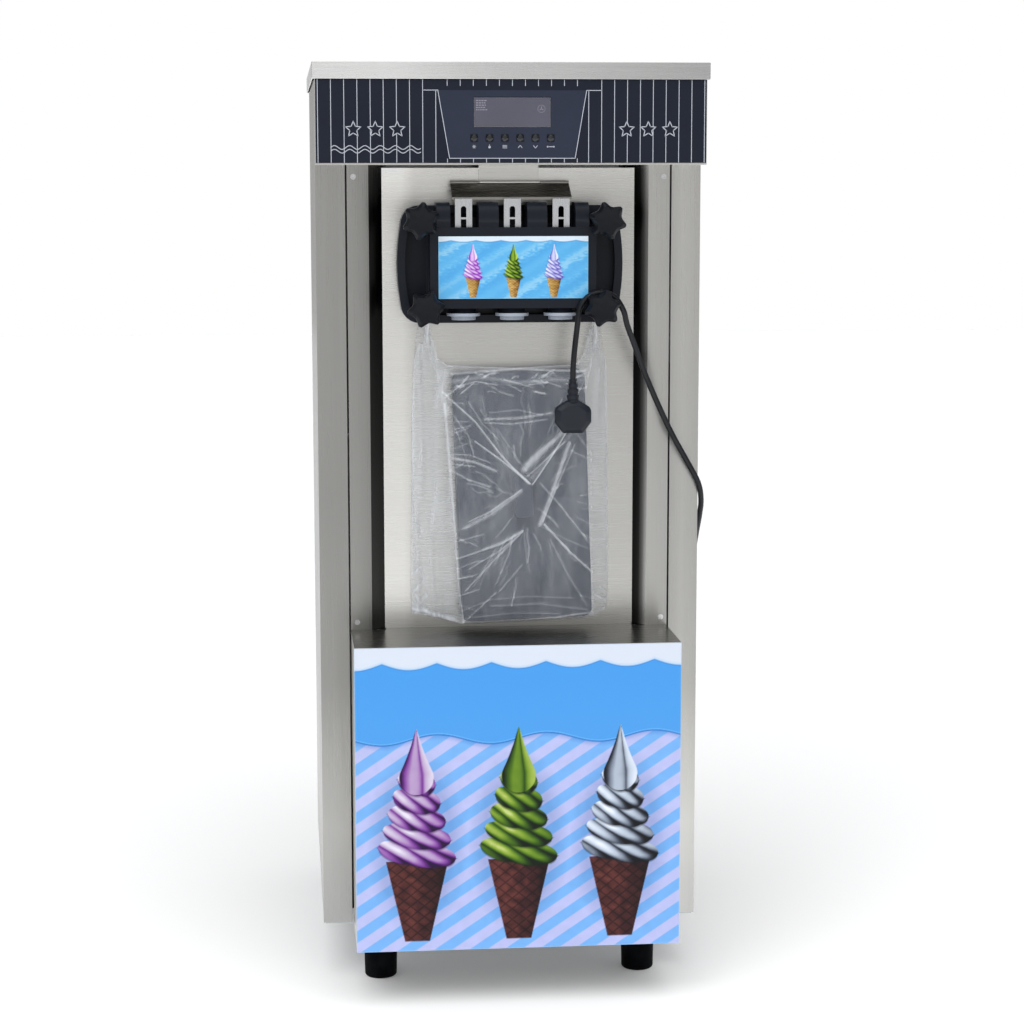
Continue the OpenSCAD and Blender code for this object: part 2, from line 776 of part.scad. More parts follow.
module draw_plunger_left() { draw_plunger(-1); }
module draw_plunger_center() { draw_plunger(0); }
module draw_plunger_right() { draw_plunger(1); }

// Hinged flap over the forks: two knuckles, a sloping plate and a folded lip
module switch_flap() {
  inner = 43;
  slope = flap_drop / (hinge_y - flap_y);
  y1 = hinge_y - 4;
  z1 = hinge_z - 4 * slope;
  z2 = hinge_z - flap_drop;
  color("dimgray") difference() {
    union() {
      slab_x(-flap_x, 2 * flap_x) polygon([
        [y1, z1], [flap_y, z2], [flap_y, z2 - 3.6], [flap_y + 1.2, z2 - 3.6], [flap_y + 1.2, z2 - 1.9], [y1, z1 - 1.3]
      ]);
      for (x = [-flap_x, inner]) {
        slab_x(x, flap_x - inner) polygon([
          [hinge_y, hinge_z], [y1 - 1, z1 - slope], [y1 - 1, z1 - slope - 1.3], [hinge_y, hinge_z - 1.3]
        ]);
        rod_x(x, hinge_y, hinge_z, 2.4, flap_x - inner);
      }
    }
    rod_x(-flap_x - 1, hinge_y, hinge_z, 1.1, 2 * flap_x + 2);
  }
}

module micro_switches() {
  z = head_z + 122;
  color(black) for (i = [-1:1])
    box([i * spout_pitch - 10, splash_y + t + 1, z], [i * spout_pitch + 10, splash_y + t + 11, z + 12]);
}

// ---- Cord, plug and gland ----

// Ring of points about the route's point i, square to the route
function unit(v) = v / norm(v);
function tangent(p, i) = unit(p[min(i + 1, len(p) - 1)] - p[max(i - 1, 0)]);
function bez(a, b, c, d, u) =
  a * pow(1 - u, 3) + b * 3 * u * pow(1 - u, 2) + c * 3 * u * u * (1 - u) + d * pow(u, 3);
function slope(p, i) = (p[min(i + 1, len(p) - 1)] - p[max(i - 1, 0)]) / (i == 0 || i == len(p) - 1 ? 1 : 2);
function smooth(p, n) = concat(
  [for (i = [0:len(p) - 2], k = [0:n - 1])
    bez(p[i], p[i] + slope(p, i) / 3, p[i + 1] - slope(p, i + 1) / 3, p[i + 1], k / n)],
  [p[len(p) - 1]]
);
function side_of(d, up) = unit(cross(d, up));
function carry(p, i, s) = unit(s - (s * tangent(p, i)) * tangent(p, i));
function frames(p, i, s) = i >= len(p) ? [] : let (n = carry(p, i, s)) concat([n], frames(p, i + 1, n));

module tube(p, r, n) {
  side = frames(p, 0, side_of(tangent(p, 0), [0, 0, 1]));
  pts = [
    for (i = [0:len(p) - 1], k = [0:n - 1])
      let (b = cross(tangent(p, i), side[i]), a = 360 * k / n) p[i] + r * (cos(a) * side[i] + sin(a) * b)
  ];
  last = (len(p) - 1) * n;
  walls = [
    for (i = [0:len(p) - 2], k = [0:n - 1]) let (m = (k + 1) % n)
      [i * n + k, i * n + m, (i + 1) * n + m, (i + 1) * n + k]
  ];
  polyhedron(points = pts, faces = concat(
    [[for (k = [n - 1:-1:0]) k]], walls, [[for (k = [0:n - 1]) last + k]]
  ), convexity = 10);
}

module power_cord() {
  color(black) tube(smooth(cord_pts, 2), cord_d / 2, cord_sides);
}

// Moulded plug hanging cord-up, with a tapered relief and three flat pins facing the panel
module plug() {
  h = 45;
  w = 51;
  d = 21;
  y0 = plug_y - 11;
  top = plug_z;
  color(black) {
    slab_y(y0, d) translate([plug_x, top]) polygon([
      [-10, 0], [10, 0], [w / 2 - 2, -9], [w / 2, -14], [w / 2, -30], [14, -h], [-14, -h], [-w / 2, -30],
      [-w / 2, -14], [-w / 2 + 2, -9]
    ]);
    translate([plug_x, plug_y, top]) cylinder(r1 = 8.5, r2 = 5.4, h = 30, $fn = 48);
  }
  color("silver") {
    box([plug_x - 4, y0 + d, top - 20], [plug_x + 4, y0 + d + 19, top - 16]);
    for (sx = [-1, 1]) box([plug_x + sx * 11 - 3, y0 + d, top - 42], [plug_x + sx * 11 + 3, y0 + d + 15, top - 38]);
  }
}

module cord_gland() {
  color(black) difference() {
    union() {
      rod_y(gland_x, rear_y, gland_z, 13, 4, 6);
      rod_y(gland_x, rear_y - 6, gland_z, 7.8, 10);
      translate([gland_x, rear_y + 4, gland_z]) rotate([-90, 0, 0]) cylinder(r1 = 9.5, r2 = 5.6, h = 18, $fn = 48);
    }
    box([gland_x - 20, rear_y + 22, gland_z - 20], [gland_x + 20, rear_y + 60, gland_z + 20]);
  }
}

// ---- Accessory bag ----

// Thin pouch open at the top, and two bands up to the lower knobs
module accessory_bag() {
  x0 = bag_x - bag_w / 2;
  x1 = bag_x + bag_w / 2;
  color("white", 0.4) {
    difference() {
      box([x0, bag_y0, bag_z0], [x1, bag_y1, bag_z1]);
      box([x0 + bag_t, bag_y0 + bag_t, bag_z0 + bag_t], [x1 - bag_t, bag_y1 - bag_t, bag_z1 + 1]);
    }
    for (i = [2, 3]) let (p = knob_spots[i], s = sign(p[0])) difference() {
      union() {
        rod_y(p[0], face_y - 30, head_z + p[1], neck_r + 2.5, 12);
        slab_y(face_y - 30, 12) polygon([
          [p[0] - 9, bag_z1 - 4], [p[0] + 9, bag_z1 - 4],
          [p[0] + 9, head_z + p[1] - 4], [p[0] - 9, head_z + p[1] - 4]
        ]);
        box([min(p[0], s * (abs(p[0]) + 16)) - 9, face_y - 30, bag_z1 - 6],
            [max(p[0], s * (abs(p[0]) + 16)), bag_y1, bag_z1]);
      }
      rod_y(p[0], face_y - 31, head_z + p[1], neck_r + 0.6, 14);
    }
  }
}

// Shallow lid with a raised grip, standing on edge in the bag with its grip to the front
module hopper_cover(y) {
  translate([cover_x, y, cover_z]) rotate([0, -cover_tilt, 0]) {
    difference() {
      slab_y(0, cover_t) round_rect(cover_w, cover_l, 12);
      slab_y(1.5, cover_t) round_rect(cover_w - 5, cover_l - 5, 10);
    }
    slab_y(-grip_t, grip_t) round_rect(26, 60, 6);
  }
}

module hopper_covers() {
  y0 = bag_y0 + bag_t + 1 + grip_t;
  color("#3a3d42") {
    hopper_cover(y0);
    hopper_cover(y0 + cover_t + cover_gap);
  }
}

function button_x(i) = (i - 2.5) * button_pitch;

base_tray();
corner_posts();
mid_shelf();
left_side_panel();
right_side_panel();
rear_panel();
front_panel();
panel_screws();
lower_box();
decor_panel();
feet();
header_box();
control_fascia();
display_window();
control_board();
button_1();
button_2();
button_3();
button_4();
button_5();
button_6();
top_lid();
hopper_left();
hopper_right();
freezing_cylinder_left();
freezing_cylinder_right();
cylinder_insulation();
beater_left();
beater_right();
drive_gear_left();
drive_gear_right();
pinion_shaft();
gearbox_case();
gearbox_pulley();
drive_belt();
motor_pulley();
drive_motor();
compressor();
condenser();
fan_motor();
fan_blade();
dispensing_head();
head_picture();
head_studs();
head_seals();
knob_top_left();
knob_top_right();
knob_bottom_left();
knob_bottom_right();
nozzle_caps();
draw_plunger_left();
draw_plunger_center();
draw_plunger_right();
switch_flap();
micro_switches();
power_cord();
plug();
cord_gland();
accessory_bag();
hopper_covers();
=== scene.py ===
import math
import random

import bmesh
import bpy
import numpy as np
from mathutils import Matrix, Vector


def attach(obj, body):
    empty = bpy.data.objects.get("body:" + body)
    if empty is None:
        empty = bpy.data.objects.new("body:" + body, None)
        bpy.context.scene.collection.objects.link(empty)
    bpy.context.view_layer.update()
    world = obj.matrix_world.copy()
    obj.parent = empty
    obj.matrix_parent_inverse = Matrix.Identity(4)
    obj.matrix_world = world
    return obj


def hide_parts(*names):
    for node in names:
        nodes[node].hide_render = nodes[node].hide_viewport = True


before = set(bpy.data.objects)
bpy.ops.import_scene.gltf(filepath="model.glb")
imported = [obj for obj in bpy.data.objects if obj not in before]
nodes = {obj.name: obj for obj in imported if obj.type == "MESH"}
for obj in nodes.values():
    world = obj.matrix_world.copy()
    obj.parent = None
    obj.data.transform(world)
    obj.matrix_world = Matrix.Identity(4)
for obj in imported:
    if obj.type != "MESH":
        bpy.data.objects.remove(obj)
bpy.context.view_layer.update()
random.seed(7)
scene = bpy.context.scene
MM = 0.001


# ---------------------------------------------------------------- helpers

def srgb(r, g, b):
    """A linear colour from 0..255 display values."""
    out = []
    for v in (r, g, b):
        v = v / 255
        out.append(v / 12.92 if v <= 0.04045 else ((v + 0.055) / 1.055) ** 2.4)
    return tuple(out)


def mesh_object(name, verts, faces, material=None, smooth=False, body="root", replaces=(), scale=MM):
    me = bpy.data.meshes.new(name)
    me.from_pydata([tuple(c * scale for c in v) for v in verts], [], faces)
    me.validate()
    ob = bpy.data.objects.new(name, me)
    scene.collection.objects.link(ob)
    return settle(ob, material, smooth, body, replaces)


def settle(ob, material, smooth, body, replaces=()):
    """Gives an object its material and shading, and lets it ride on its body."""
    me = ob.data
    if material is not None:
        me.materials.clear()
        me.materials.append(material)
    me.polygons.foreach_set("use_smooth", [smooth] * len(me.polygons))
    me.update()
    if body is not None:
        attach(ob, body)
    if replaces:
        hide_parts(*replaces)
    return ob


def bm_object(name, bm, **k):
    me = bpy.data.meshes.new(name)
    bm.to_mesh(me)
    bm.free()
    ob = bpy.data.objects.new(name, me)
    scene.collection.objects.link(ob)
    return settle(ob, k.get("material"), k.get("smooth", False), k.get("body", "root"), k.get("replaces", ()))


def soften(ob, width, segments=2, angle=32, weighted=False):
    """Rounds the edges of a mesh and keeps its flat faces flat."""
    ob.data.polygons.foreach_set("use_smooth", [True] * len(ob.data.polygons))
    b = ob.modifiers.new("edges", "BEVEL")
    b.width = width * MM
    b.segments = segments
    b.limit_method = "WEIGHT" if weighted else "ANGLE"
    b.angle_limit = math.radians(angle)
    b.use_clamp_overlap = True
    b.miter_outer = "MITER_ARC"
    w = ob.modifiers.new("normals", "WEIGHTED_NORMAL")
    w.weight = 100
    w.keep_sharp = False
    return ob


def cad_copy(node, name, material, body, width=0.8, segments=2, slot=None, rounded=None):
    """A softened copy of a CAD node. rounded, if given, picks outer edges by their middle, in millimetres."""
    bm = bmesh.new()
    bm.from_mesh(nodes[node].data)
    bmesh.ops.remove_doubles(bm, verts=bm.verts, dist=2e-5)
    bmesh.ops.dissolve_limit(bm, angle_limit=math.radians(1.0), verts=bm.verts, edges=bm.edges)
    if rounded is not None:
        weight = bm.edges.layers.float.new("bevel_weight_edge")
        for e in bm.edges:
            if len(e.link_faces) == 2 and e.is_convex and e.calc_face_angle(0) > math.radians(32):
                if rounded((e.verts[0].co + e.verts[1].co) / 2 / MM):
                    e[weight] = 1.0
    ob = bm_object(name, bm, material=material, smooth=True, body=body, replaces=[node], slot=slot)
    return soften(ob, width, segments, weighted=rounded is not None)


def dress(node, material):
    ob = nodes[node]
    if not ob.material_slots:
        ob.data.materials.append(material)
    for s in ob.material_slots:
        s.material = material
    return ob


def ring_mesh(rings, closed_ends=(True, True)):
    """Vertices and faces of a skin over rings of equal count."""
    n = len(rings[0])
    verts = [p for r in rings for p in r]
    faces = []
    for i in range(len(rings) - 1):
        for k in range(n):
            m = (k + 1) % n
            faces.append((i * n + k, i * n + m, (i + 1) * n + m, (i + 1) * n + k))
    if closed_ends[0]:
        faces.append(tuple(range(n - 1, -1, -1)))
    if closed_ends[1]:
        faces.append(tuple((len(rings) - 1) * n + k for k in range(n)))
    return verts, faces


# ---------------------------------------------------------------- materials

class Shader:
    """A small helper for one Principled material made of nodes."""

    def __init__(self, name, rough=0.5, metal=0.0, colour=(0.5, 0.5, 0.5)):
        self.mat = bpy.data.materials.new(name)
        self.mat.use_nodes = True
        self.nt = self.mat.node_tree
        self.nt.nodes.clear()
        self.out = self.nt.nodes.new("ShaderNodeOutputMaterial")
        self.bsdf = self.nt.nodes.new("ShaderNodeBsdfPrincipled")
        self.nt.links.new(self.bsdf.outputs[0], self.out.inputs[0])
        self.set("Base Color", (*colour, 1))
        self.set("Roughness", rough)
        self.set("Metallic", metal)
        self.coord = None

    def set(self, socket, value):
        self.bsdf.inputs[socket].default_value = value
        return self

    def node(self, kind, **values):
        n = self.nt.nodes.new(kind)
        for k, v in values.items():
            if k in n.inputs:
                n.inputs[k].default_value = v
            else:
                setattr(n, k, v)
        return n

    def link(self, a, b):
        self.nt.links.new(a, b)

    def place(self, scale=(1, 1, 1), rotation=(0, 0, 0)):
        if self.coord is None:
            self.coord = self.node("ShaderNodeTexCoord")
        m = self.node("ShaderNodeMapping")
        m.inputs["Scale"].default_value = scale
        m.inputs["Rotation"].default_value = rotation
        self.link(self.coord.outputs["Object"], m.inputs["Vector"])
        return m.outputs["Vector"]

    def noise(self, scale, detail=4.0, stretch=(1, 1, 1), rough=0.55):
        n = self.node("ShaderNodeTexNoise")
        n.inputs["Scale"].default_value = scale
        n.inputs["Detail"].default_value = detail
        n.inputs["Roughness"].default_value = rough
        self.link(self.place(stretch), n.inputs["Vector"])
        return n.outputs["Fac"]

    def ranged(self, value, lo, hi, from_lo=0.3, from_hi=0.7):
        r = self.node("ShaderNodeMapRange")
        r.inputs["From Min"].default_value = from_lo
        r.inputs["From Max"].default_value = from_hi
        r.inputs["To Min"].default_value = lo
        r.inputs["To Max"].default_value = hi
        self.link(value, r.inputs["Value"])
        return r.outputs["Result"]

    def tint(self, value, a, b, lo=0.3, hi=0.7):
        r = self.node("ShaderNodeValToRGB")
        r.color_ramp.elements[0].position = lo
        r.color_ramp.elements[0].color = (*a, 1)
        r.color_ramp.elements[1].position = hi
        r.color_ramp.elements[1].color = (*b, 1)
        self.link(value, r.inputs["Fac"])
        return r.outputs["Color"]

    def mix(self, factor, a, b, mode="MIX"):
        m = self.node("ShaderNodeMix")
        m.data_type = "RGBA"
        m.blend_type = mode
        for value, socket in ((factor, m.inputs[0]), (a, m.inputs[6]), (b, m.inputs[7])):
            if isinstance(value, (int, float)):
                socket.default_value = value
            elif isinstance(value, tuple):
                socket.default_value = (*value, 1)
            else:
                self.link(value, socket)
        return m.outputs[2]

    def to(self, value, socket):
        self.link(value, self.bsdf.inputs[socket])
        return self

    def bump(self, height, strength=0.1, distance=0.001, under=None):
        b = self.node("ShaderNodeBump")
        b.inputs["Strength"].default_value = strength
        b.inputs["Distance"].default_value = distance
        self.link(height, b.inputs["Height"])
        if under is not None:
            self.link(under, b.inputs["Normal"])
        self.link(b.outputs["Normal"], self.bsdf.inputs["Normal"])
        return b.outputs["Normal"]


def brushed(name, colour, rough, along, contrast=0.05, across=None, upward=None):
    """Brushed metal: fine lines along one axis, soft blotches, and painted reflection and shade as slow changes of
    tone across and up the sheet.
    """
    s = Shader(name, rough, 1.0, colour)
    stretch = [900, 900, 900]
    stretch["XYZ".index(along)] = 6
    fine = s.noise(1.0, 2.0, tuple(stretch))
    stretch2 = [260, 260, 260]
    stretch2["XYZ".index(along)] = 2.5
    broad = s.noise(1.0, 3.0, tuple(stretch2))
    cloud = s.noise(4.0, 3.0)
    c1 = s.tint(fine, tuple(c * (1 - contrast) for c in colour), tuple(min(1, c * (1 + contrast)) for c in colour))
    c2 = s.tint(broad, tuple(c * 0.985 for c in colour), tuple(min(1, c * 1.015) for c in colour), 0.35, 0.65)
    tone = s.mix(0.5, c1, c2)
    # Painted reflection and shade: each table scales the colour along x or up z, standing in for the studio's bright
    # and dark reflections.
    for axis, table in (("X", across), ("Z", upward)):
        if table:
            split = s.node("ShaderNodeSeparateXYZ")
            s.link(s.place(), split.inputs[0])
            lo, hi = table[0][0], table[-1][0]
            t = s.ranged(split.outputs[axis], 0, 1, lo * MM, hi * MM)
            r = s.node("ShaderNodeValToRGB")
            els = r.color_ramp.elements
            els[0].position, els[0].color = 0.0, (*(table[0][1],) * 3, 1)
            els[1].position, els[1].color = 1.0, (*(table[-1][1],) * 3, 1)
            for at, k in table[1:-1]:
                e = els.new((at - lo) / (hi - lo))
                e.color = (k, k, k, 1)
            s.link(t, r.inputs["Fac"])
            tone = s.mix(1.0, tone, r.outputs["Color"], "MULTIPLY")
    s.to(tone, "Base Color")
    m = s.node("ShaderNodeMath", operation="ADD")
    s.link(s.ranged(fine, rough - 0.04, rough + 0.05), m.inputs[0])
    s.link(s.ranged(cloud, -0.02, 0.03), m.inputs[1])
    s.to(m.outputs[0], "Roughness")
    s.bump(fine, 0.05, 0.0003)
    return s.mat


def plastic(name, colour, rough=0.45, grain=900.0, bump=0.12, vary=0.12, coat=0.0):
    """Moulded plastic with a fine grain, slight colour drift and uneven gloss."""
    s = Shader(name, rough, 0.0, colour)
    g = s.noise(grain, 3.0)
    cloud = s.noise(14.0, 4.0)
    s.to(s.tint(cloud, tuple(c * (1 - vary) for c in colour), tuple(min(1, c * (1 + vary)) for c in colour)),
         "Base Color")
    s.to(s.ranged(cloud, rough - 0.05, rough + 0.07), "Roughness")
    s.bump(g, bump, 0.0003)
    if coat:
        s.set("Coat Weight", coat)
        s.set("Coat Roughness", 0.12)
    return s.mat


def painted(name, colour, rough=0.4):
    s = Shader(name, rough, 0.0, colour)
    peel = s.noise(260.0, 2.0)
    cloud = s.noise(9.0, 4.0)
    s.to(s.tint(cloud, tuple(c * 0.85 for c in colour), tuple(min(1, c * 1.12) for c in colour)), "Base Color")
    s.to(s.ranged(cloud, rough - 0.06, rough + 0.1), "Roughness")
    s.bump(peel, 0.15, 0.0004)
    s.set("Coat Weight", 0.3)
    return s.mat


def cast(name, colour, metal=0.9, rough=0.5, grain=420.0):
    s = Shader(name, rough, metal, colour)
    g = s.noise(grain, 5.0)
    cloud = s.noise(18.0, 4.0)
    s.to(s.tint(cloud, tuple(c * 0.8 for c in colour), tuple(min(1, c * 1.15) for c in colour)), "Base Color")
    s.to(s.ranged(g, rough - 0.1, rough + 0.12), "Roughness")
    s.bump(g, 0.25, 0.0004)
    return s.mat


def rubber(name, colour, rough=0.7):
    s = Shader(name, rough, 0.0, colour)
    g = s.noise(1300.0, 3.0)
    dust = s.noise(30.0, 5.0)
    s.to(s.tint(dust, colour, tuple(c * 1.9 + 0.004 for c in colour), 0.45, 0.8), "Base Color")
    s.to(s.ranged(dust, rough - 0.05, min(0.95, rough + 0.15)), "Roughness")
    s.bump(g, 0.2, 0.0002)
    return s.mat


def printed(name, rough=0.38, coat=0.25, grain=0.03):
    """Printed film: the ink's colours are stored on the mesh, with a faint press grain over them."""
    s = Shader(name, rough)
    ink = s.node("ShaderNodeAttribute", attribute_name="ink")
    grainy = s.noise(1500.0, 2.0)
    soft = s.tint(grainy, (1 - grain,) * 3, (1, 1, 1))
    s.to(s.mix(1.0, ink.outputs["Color"], soft, "MULTIPLY"), "Base Color")
    s.to(s.ranged(s.noise(40.0, 3.0), rough - 0.04, rough + 0.05), "Roughness")
    s.set("Coat Weight", coat)
    s.set("Coat Roughness", 0.15)
    return s.mat


STEEL = (0.66, 0.65, 0.62)
WARM = (0.98, 0.965, 0.925)
M = {}
M["steel_v"] = brushed("steel_vertical_brush", STEEL, 0.30, "Z")
# Side sheets: painted reflection, lighter low down, near the top and towards the right.
M["steel_side"] = brushed("steel_side_sheet", WARM, 0.30, "Z", 0.035,
                          [(-275, 0.37), (-240, 0.35), (0, 0.40), (228, 0.46), (246, 0.52), (275, 0.46)],
                          [(80, 1.15), (220, 1.35), (330, 1.15), (430, 0.95), (700, 0.92), (1166, 1.15)])
# Stiles: painted shade on the left, a painted reflection lighter on the right and near the top.
M["steel_stile"] = brushed("steel_stile", WARM, 0.30, "Z", 0.035,
                           [(-228, 0.36), (-196, 0.31), (196, 0.50), (228, 0.46)], [(511, 0.95), (800, 0.95),
                                        (1166, 1.1)])
# Slanted returns: colour painted nearly black as a painted dark reflection, darkest halfway up and lighter towards the
# right edge.
M["steel_return"] = brushed("steel_return", WARM, 0.24, "Z", 0.06,
                            [(-197, 0.05), (-178, 0.03), (178, 0.01), (186, 0.02), (191, 0.14), (197, 0.55)],
                            [(511, 1.0), (620, 0.8), (760, 0.5), (950, 0.35), (1100, 0.4), (1166, 0.9)])
# Splash panel: a painted highlight band at the left, and painted reflections lighter at the top and bottom.
M["steel_splash"] = brushed("steel_splash", WARM, 0.28, "X", 0.012,
                            [(-178, 0.78), (-150, 0.78), (-132, 0.62), (-60, 0.56), (60, 0.55), (178, 0.53)],
                            [(511, 1.12), (640, 0.98), (900, 0.98), (1110, 1.08), (1166, 1.42)])
# Lid: a painted highlight on the left, falling off to painted shade on the right.
M["steel_lid"] = brushed("steel_lid", (0.97, 0.97, 0.96), 0.27, "X", 0.02,
                         [(-277, 1.0), (-170, 1.0), (-60, 0.84), (0, 0.78), (277, 0.58)])
M["steel_x"] = brushed("steel_cross_brush", STEEL, 0.30, "X")
M["steel_fine"] = brushed("steel_satin", (0.62, 0.63, 0.65), 0.27, "Z", 0.06)
M["steel_dark"] = brushed("steel_shaded", (0.30, 0.29, 0.27), 0.27, "X", 0.06)
# Ledge: painted reflection, bright at both ends and dark in the middle.
M["steel_ledge"] = brushed("steel_ledge", (0.44, 0.435, 0.41), 0.26, "X", 0.03,
                           [(-227, 1.0), (-191, 1.0), (-150, 0.55), (0, 0.20), (130, 0.62), (185, 1.0),
                            (227, 1.0)])
M["galvanised"] = cast("galvanised_sheet", (0.52, 0.54, 0.55), 1.0, 0.42, 60.0)
M["bright"] = brushed("plated_steel", (0.72, 0.72, 0.73), 0.16, "Y", 0.05)
M["fascia"] = plastic("navy_film", srgb(22, 27, 40), 0.40, 1400.0, 0.05, 0.06)
M["fascia_mid"] = plastic("navy_film_inner", srgb(40, 45, 61), 0.38, 1400.0, 0.05, 0.06)
M["ink_white"] = plastic("white_ink", srgb(176, 180, 190), 0.5, 1200.0, 0.05, 0.03)
M["lcd"] = plastic("display_film", srgb(76, 75, 89), 0.2, 1400.0, 0.03, 0.07, 0.3)
M["lcd_seg"] = plastic("display_segment", srgb(130, 128, 140), 0.25, 1400.0, 0.02, 0.03)
M["board"] = painted("board_green", (0.03, 0.22, 0.10), 0.35)
M["button"] = plastic("button_gloss", (0.006, 0.007, 0.010), 0.16, 800.0, 0.03, 0.2, 0.5)
M["head"] = plastic("head_satin_black", srgb(20, 24, 32), 0.33, 900.0, 0.10, 0.12)
M["knob"] = plastic("knob_fine_black", srgb(12, 15, 21), 0.33, 1100.0, 0.16, 0.12)
# Nozzle caps: white plastic, its colour painted grey as the shade under the head.
M["cap"] = plastic("cap_white", srgb(150, 158, 170), 0.38, 1200.0, 0.06, 0.03, 0.1)
M["foot"] = rubber("foot_rubber", (0.002, 0.0024, 0.003), 0.5)
M["seal"] = rubber("silicone", (0.72, 0.70, 0.62), 0.5)
M["foam"] = cast("rigid_foam", (0.80, 0.74, 0.52), 0.0, 0.9, 150.0)
M["brass"] = cast("cut_brass", (0.70, 0.52, 0.22), 1.0, 0.3, 300.0)
M["housing"] = cast("cast_housing", (0.28, 0.29, 0.31), 0.8, 0.5)
M["motor"] = painted("motor_blue", (0.05, 0.14, 0.28))
M["compressor"] = painted("compressor_black", (0.015, 0.015, 0.017), 0.25)
M["fins"] = brushed("fin_aluminium", (0.66, 0.67, 0.69), 0.35, "X")
M["fan"] = plastic("fan_grey", (0.07, 0.07, 0.08), 0.5)
M["belt"] = rubber("belt_rubber", (0.012, 0.012, 0.012))
M["cord"] = rubber("cord_sheath", (0.006, 0.0065, 0.0085), 0.36)
M["plug"] = plastic("plug_black", srgb(26, 30, 38), 0.36, 900.0, 0.2, 0.12)
M["cover"] = plastic("cover_dark_grey", srgb(50, 55, 68), 0.5, 1400.0, 0.05, 0.08)
M["white_part"] = plastic("food_white", (0.75, 0.76, 0.77), 0.4)
M["print"] = printed("printed_film", 0.4, 0.05)
M["print_head"] = printed("printed_film_small", 0.34, 0.05, 0.02)
for key in ("head", "knob", "plug", "fascia", "fascia_mid", "cover", "cord", "foot", "print", "print_head"):
    shader = M[key].node_tree.nodes
    for n in shader:
        if n.bl_idname == "ShaderNodeBsdfPrincipled":
            n.inputs["Specular IOR Level"].default_value = {"knob": 0.22, "plug": 0.32, "cord": 0.35,
                                        "foot": 0.03}.get(key, 0.2)


# ---------------------------------------------------------------- camera

cam = bpy.data.cameras.new("camera")
cam.lens = 85.38
cam.sensor_width = 36
cam.sensor_fit = "HORIZONTAL"
cam.clip_end = 60
eye = bpy.data.objects.new("camera", cam)
eye.location = (-0.3177, -3.6191, 1.1553)
eye.rotation_euler = (math.radians(90 - 7.954), math.radians(0.053), math.radians(-5.397))
scene.collection.objects.link(eye)
scene.camera = eye


# ---------------------------------------------------------------- cord

ROUTE = [
    (200, 372, 430), (200, 392, 427), (204, 412, 416), (216, 429, 398), (236, 436, 376),
    (257, 427, 359), (271, 405, 350), (276, 376, 347), (277, 340, 346), (277, 300, 347),
    (277, 250, 353.5), (277, 200, 366), (277, 150, 384), (277, 100, 408), (277, 50, 437.5),
    (277, 0, 473), (277, -50, 515), (277, -100, 562), (277, -140, 604), (276.5, -172, 640),
    (276.5, -196, 668), (275.5, -213, 692), (269, -224, 718), (250, -231, 752), (228, -239, 790),
    (206, -248, 834), (186, -257, 878), (170, -266, 918), (158.5, -275, 946), (152.5, -281, 966),
    (139, -283.7, 985.8), (121, -283.7, 991.5), (103, -283.7, 985.8), (91.5, -283.7, 970.5),
    (88.5, -284, 951), (86, -284, 930), (83.5, -284, 906), (82, -284, 884), (82, -284, 872),
]


def smooth_path(points, n):
    p = [Vector(q) for q in points]
    last = len(p) - 1

    def slope(i):
        d = p[min(i + 1, last)] - p[max(i - 1, 0)]
        return d if i in (0, last) else d / 2
    out = []
    for i in range(last):
        a, d = p[i], p[i + 1]
        b, c = a + slope(i) / 3, d - slope(i + 1) / 3
        for k in range(n):
            u = k / n
            out.append(a * (1 - u) ** 3 + b * 3 * u * (1 - u) ** 2 + c * 3 * u * u * (1 - u) + d * u ** 3)
    out.append(p[last])
    return out


path = smooth_path(ROUTE, 5)
curve = bpy.data.curves.new("power_lead", "CURVE")
curve.dimensions = "3D"
spline = curve.splines.new("POLY")
spline.points.add(len(path) - 1)
for point, q in zip(spline.points, path):
    point.co = (*(q * MM), 1)
curve.bevel_depth = 0.004
curve.bevel_resolution = 5
curve.use_fill_caps = True
curve.materials.append(M["cord"])
for sp in curve.splines:
    sp.use_smooth = True
lead = bpy.data.objects.new("power_lead", curve)
scene.collection.objects.link(lead)
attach(lead, "root")
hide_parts("power_cord")


def lathe(profile, centre, axis, sides=48):
    """Rings about an axis: profile is (distance along it, radius)."""
    a = Vector(axis).normalized()
    u = a.orthogonal().normalized()
    v = a.cross(u)
    c = Vector(centre)
    return [[tuple(c + a * s + (u * math.cos(t) + v * math.sin(t)) * r)
             for t in (2 * math.pi * k / sides for k in range(sides))] for s, r in profile]


# Moulded plug: a rounded back with a bevelled rim, a ribbed relief and three flat pins
PLUG = (82, -284, 842)


def plug_body():
    outline = [(-10, 0), (10, 0), (23.5, -9), (25.5, -14), (25.5, -30), (14, -45), (-14, -45), (-25.5, -30),
               (-25.5, -14), (-23.5, -9)]
    bm = bmesh.new()
    y0, y1 = PLUG[1] - 11, PLUG[1] + 10
    rings = []
    for y, s in ((y0, 0.70), (y0 + 4.5, 0.97), (y0 + 8, 1.0), (y0 + 15, 1.0), (y1, 0.97)):
        ring = []
        for x, z in outline:
            zc = -24
            ring.append(bm.verts.new(((PLUG[0] + x * s) * MM, y * MM, (PLUG[2] + zc + (z - zc) * s) * MM)))
        rings.append(ring)
    n = len(outline)
    for a, b in zip(rings, rings[1:]):
        for k in range(n):
            bm.faces.new((a[k], b[k], b[(k + 1) % n], a[(k + 1) % n]))
    bm.faces.new(rings[0])
    bm.faces.new(rings[-1][::-1])
    bmesh.ops.recalc_face_normals(bm, faces=bm.faces)
    ob = bm_object("plug_body", bm, material=M["plug"], body="root", replaces=["plug"], slot="plug_plastic")
    return soften(ob, 1.3, 3, 20)


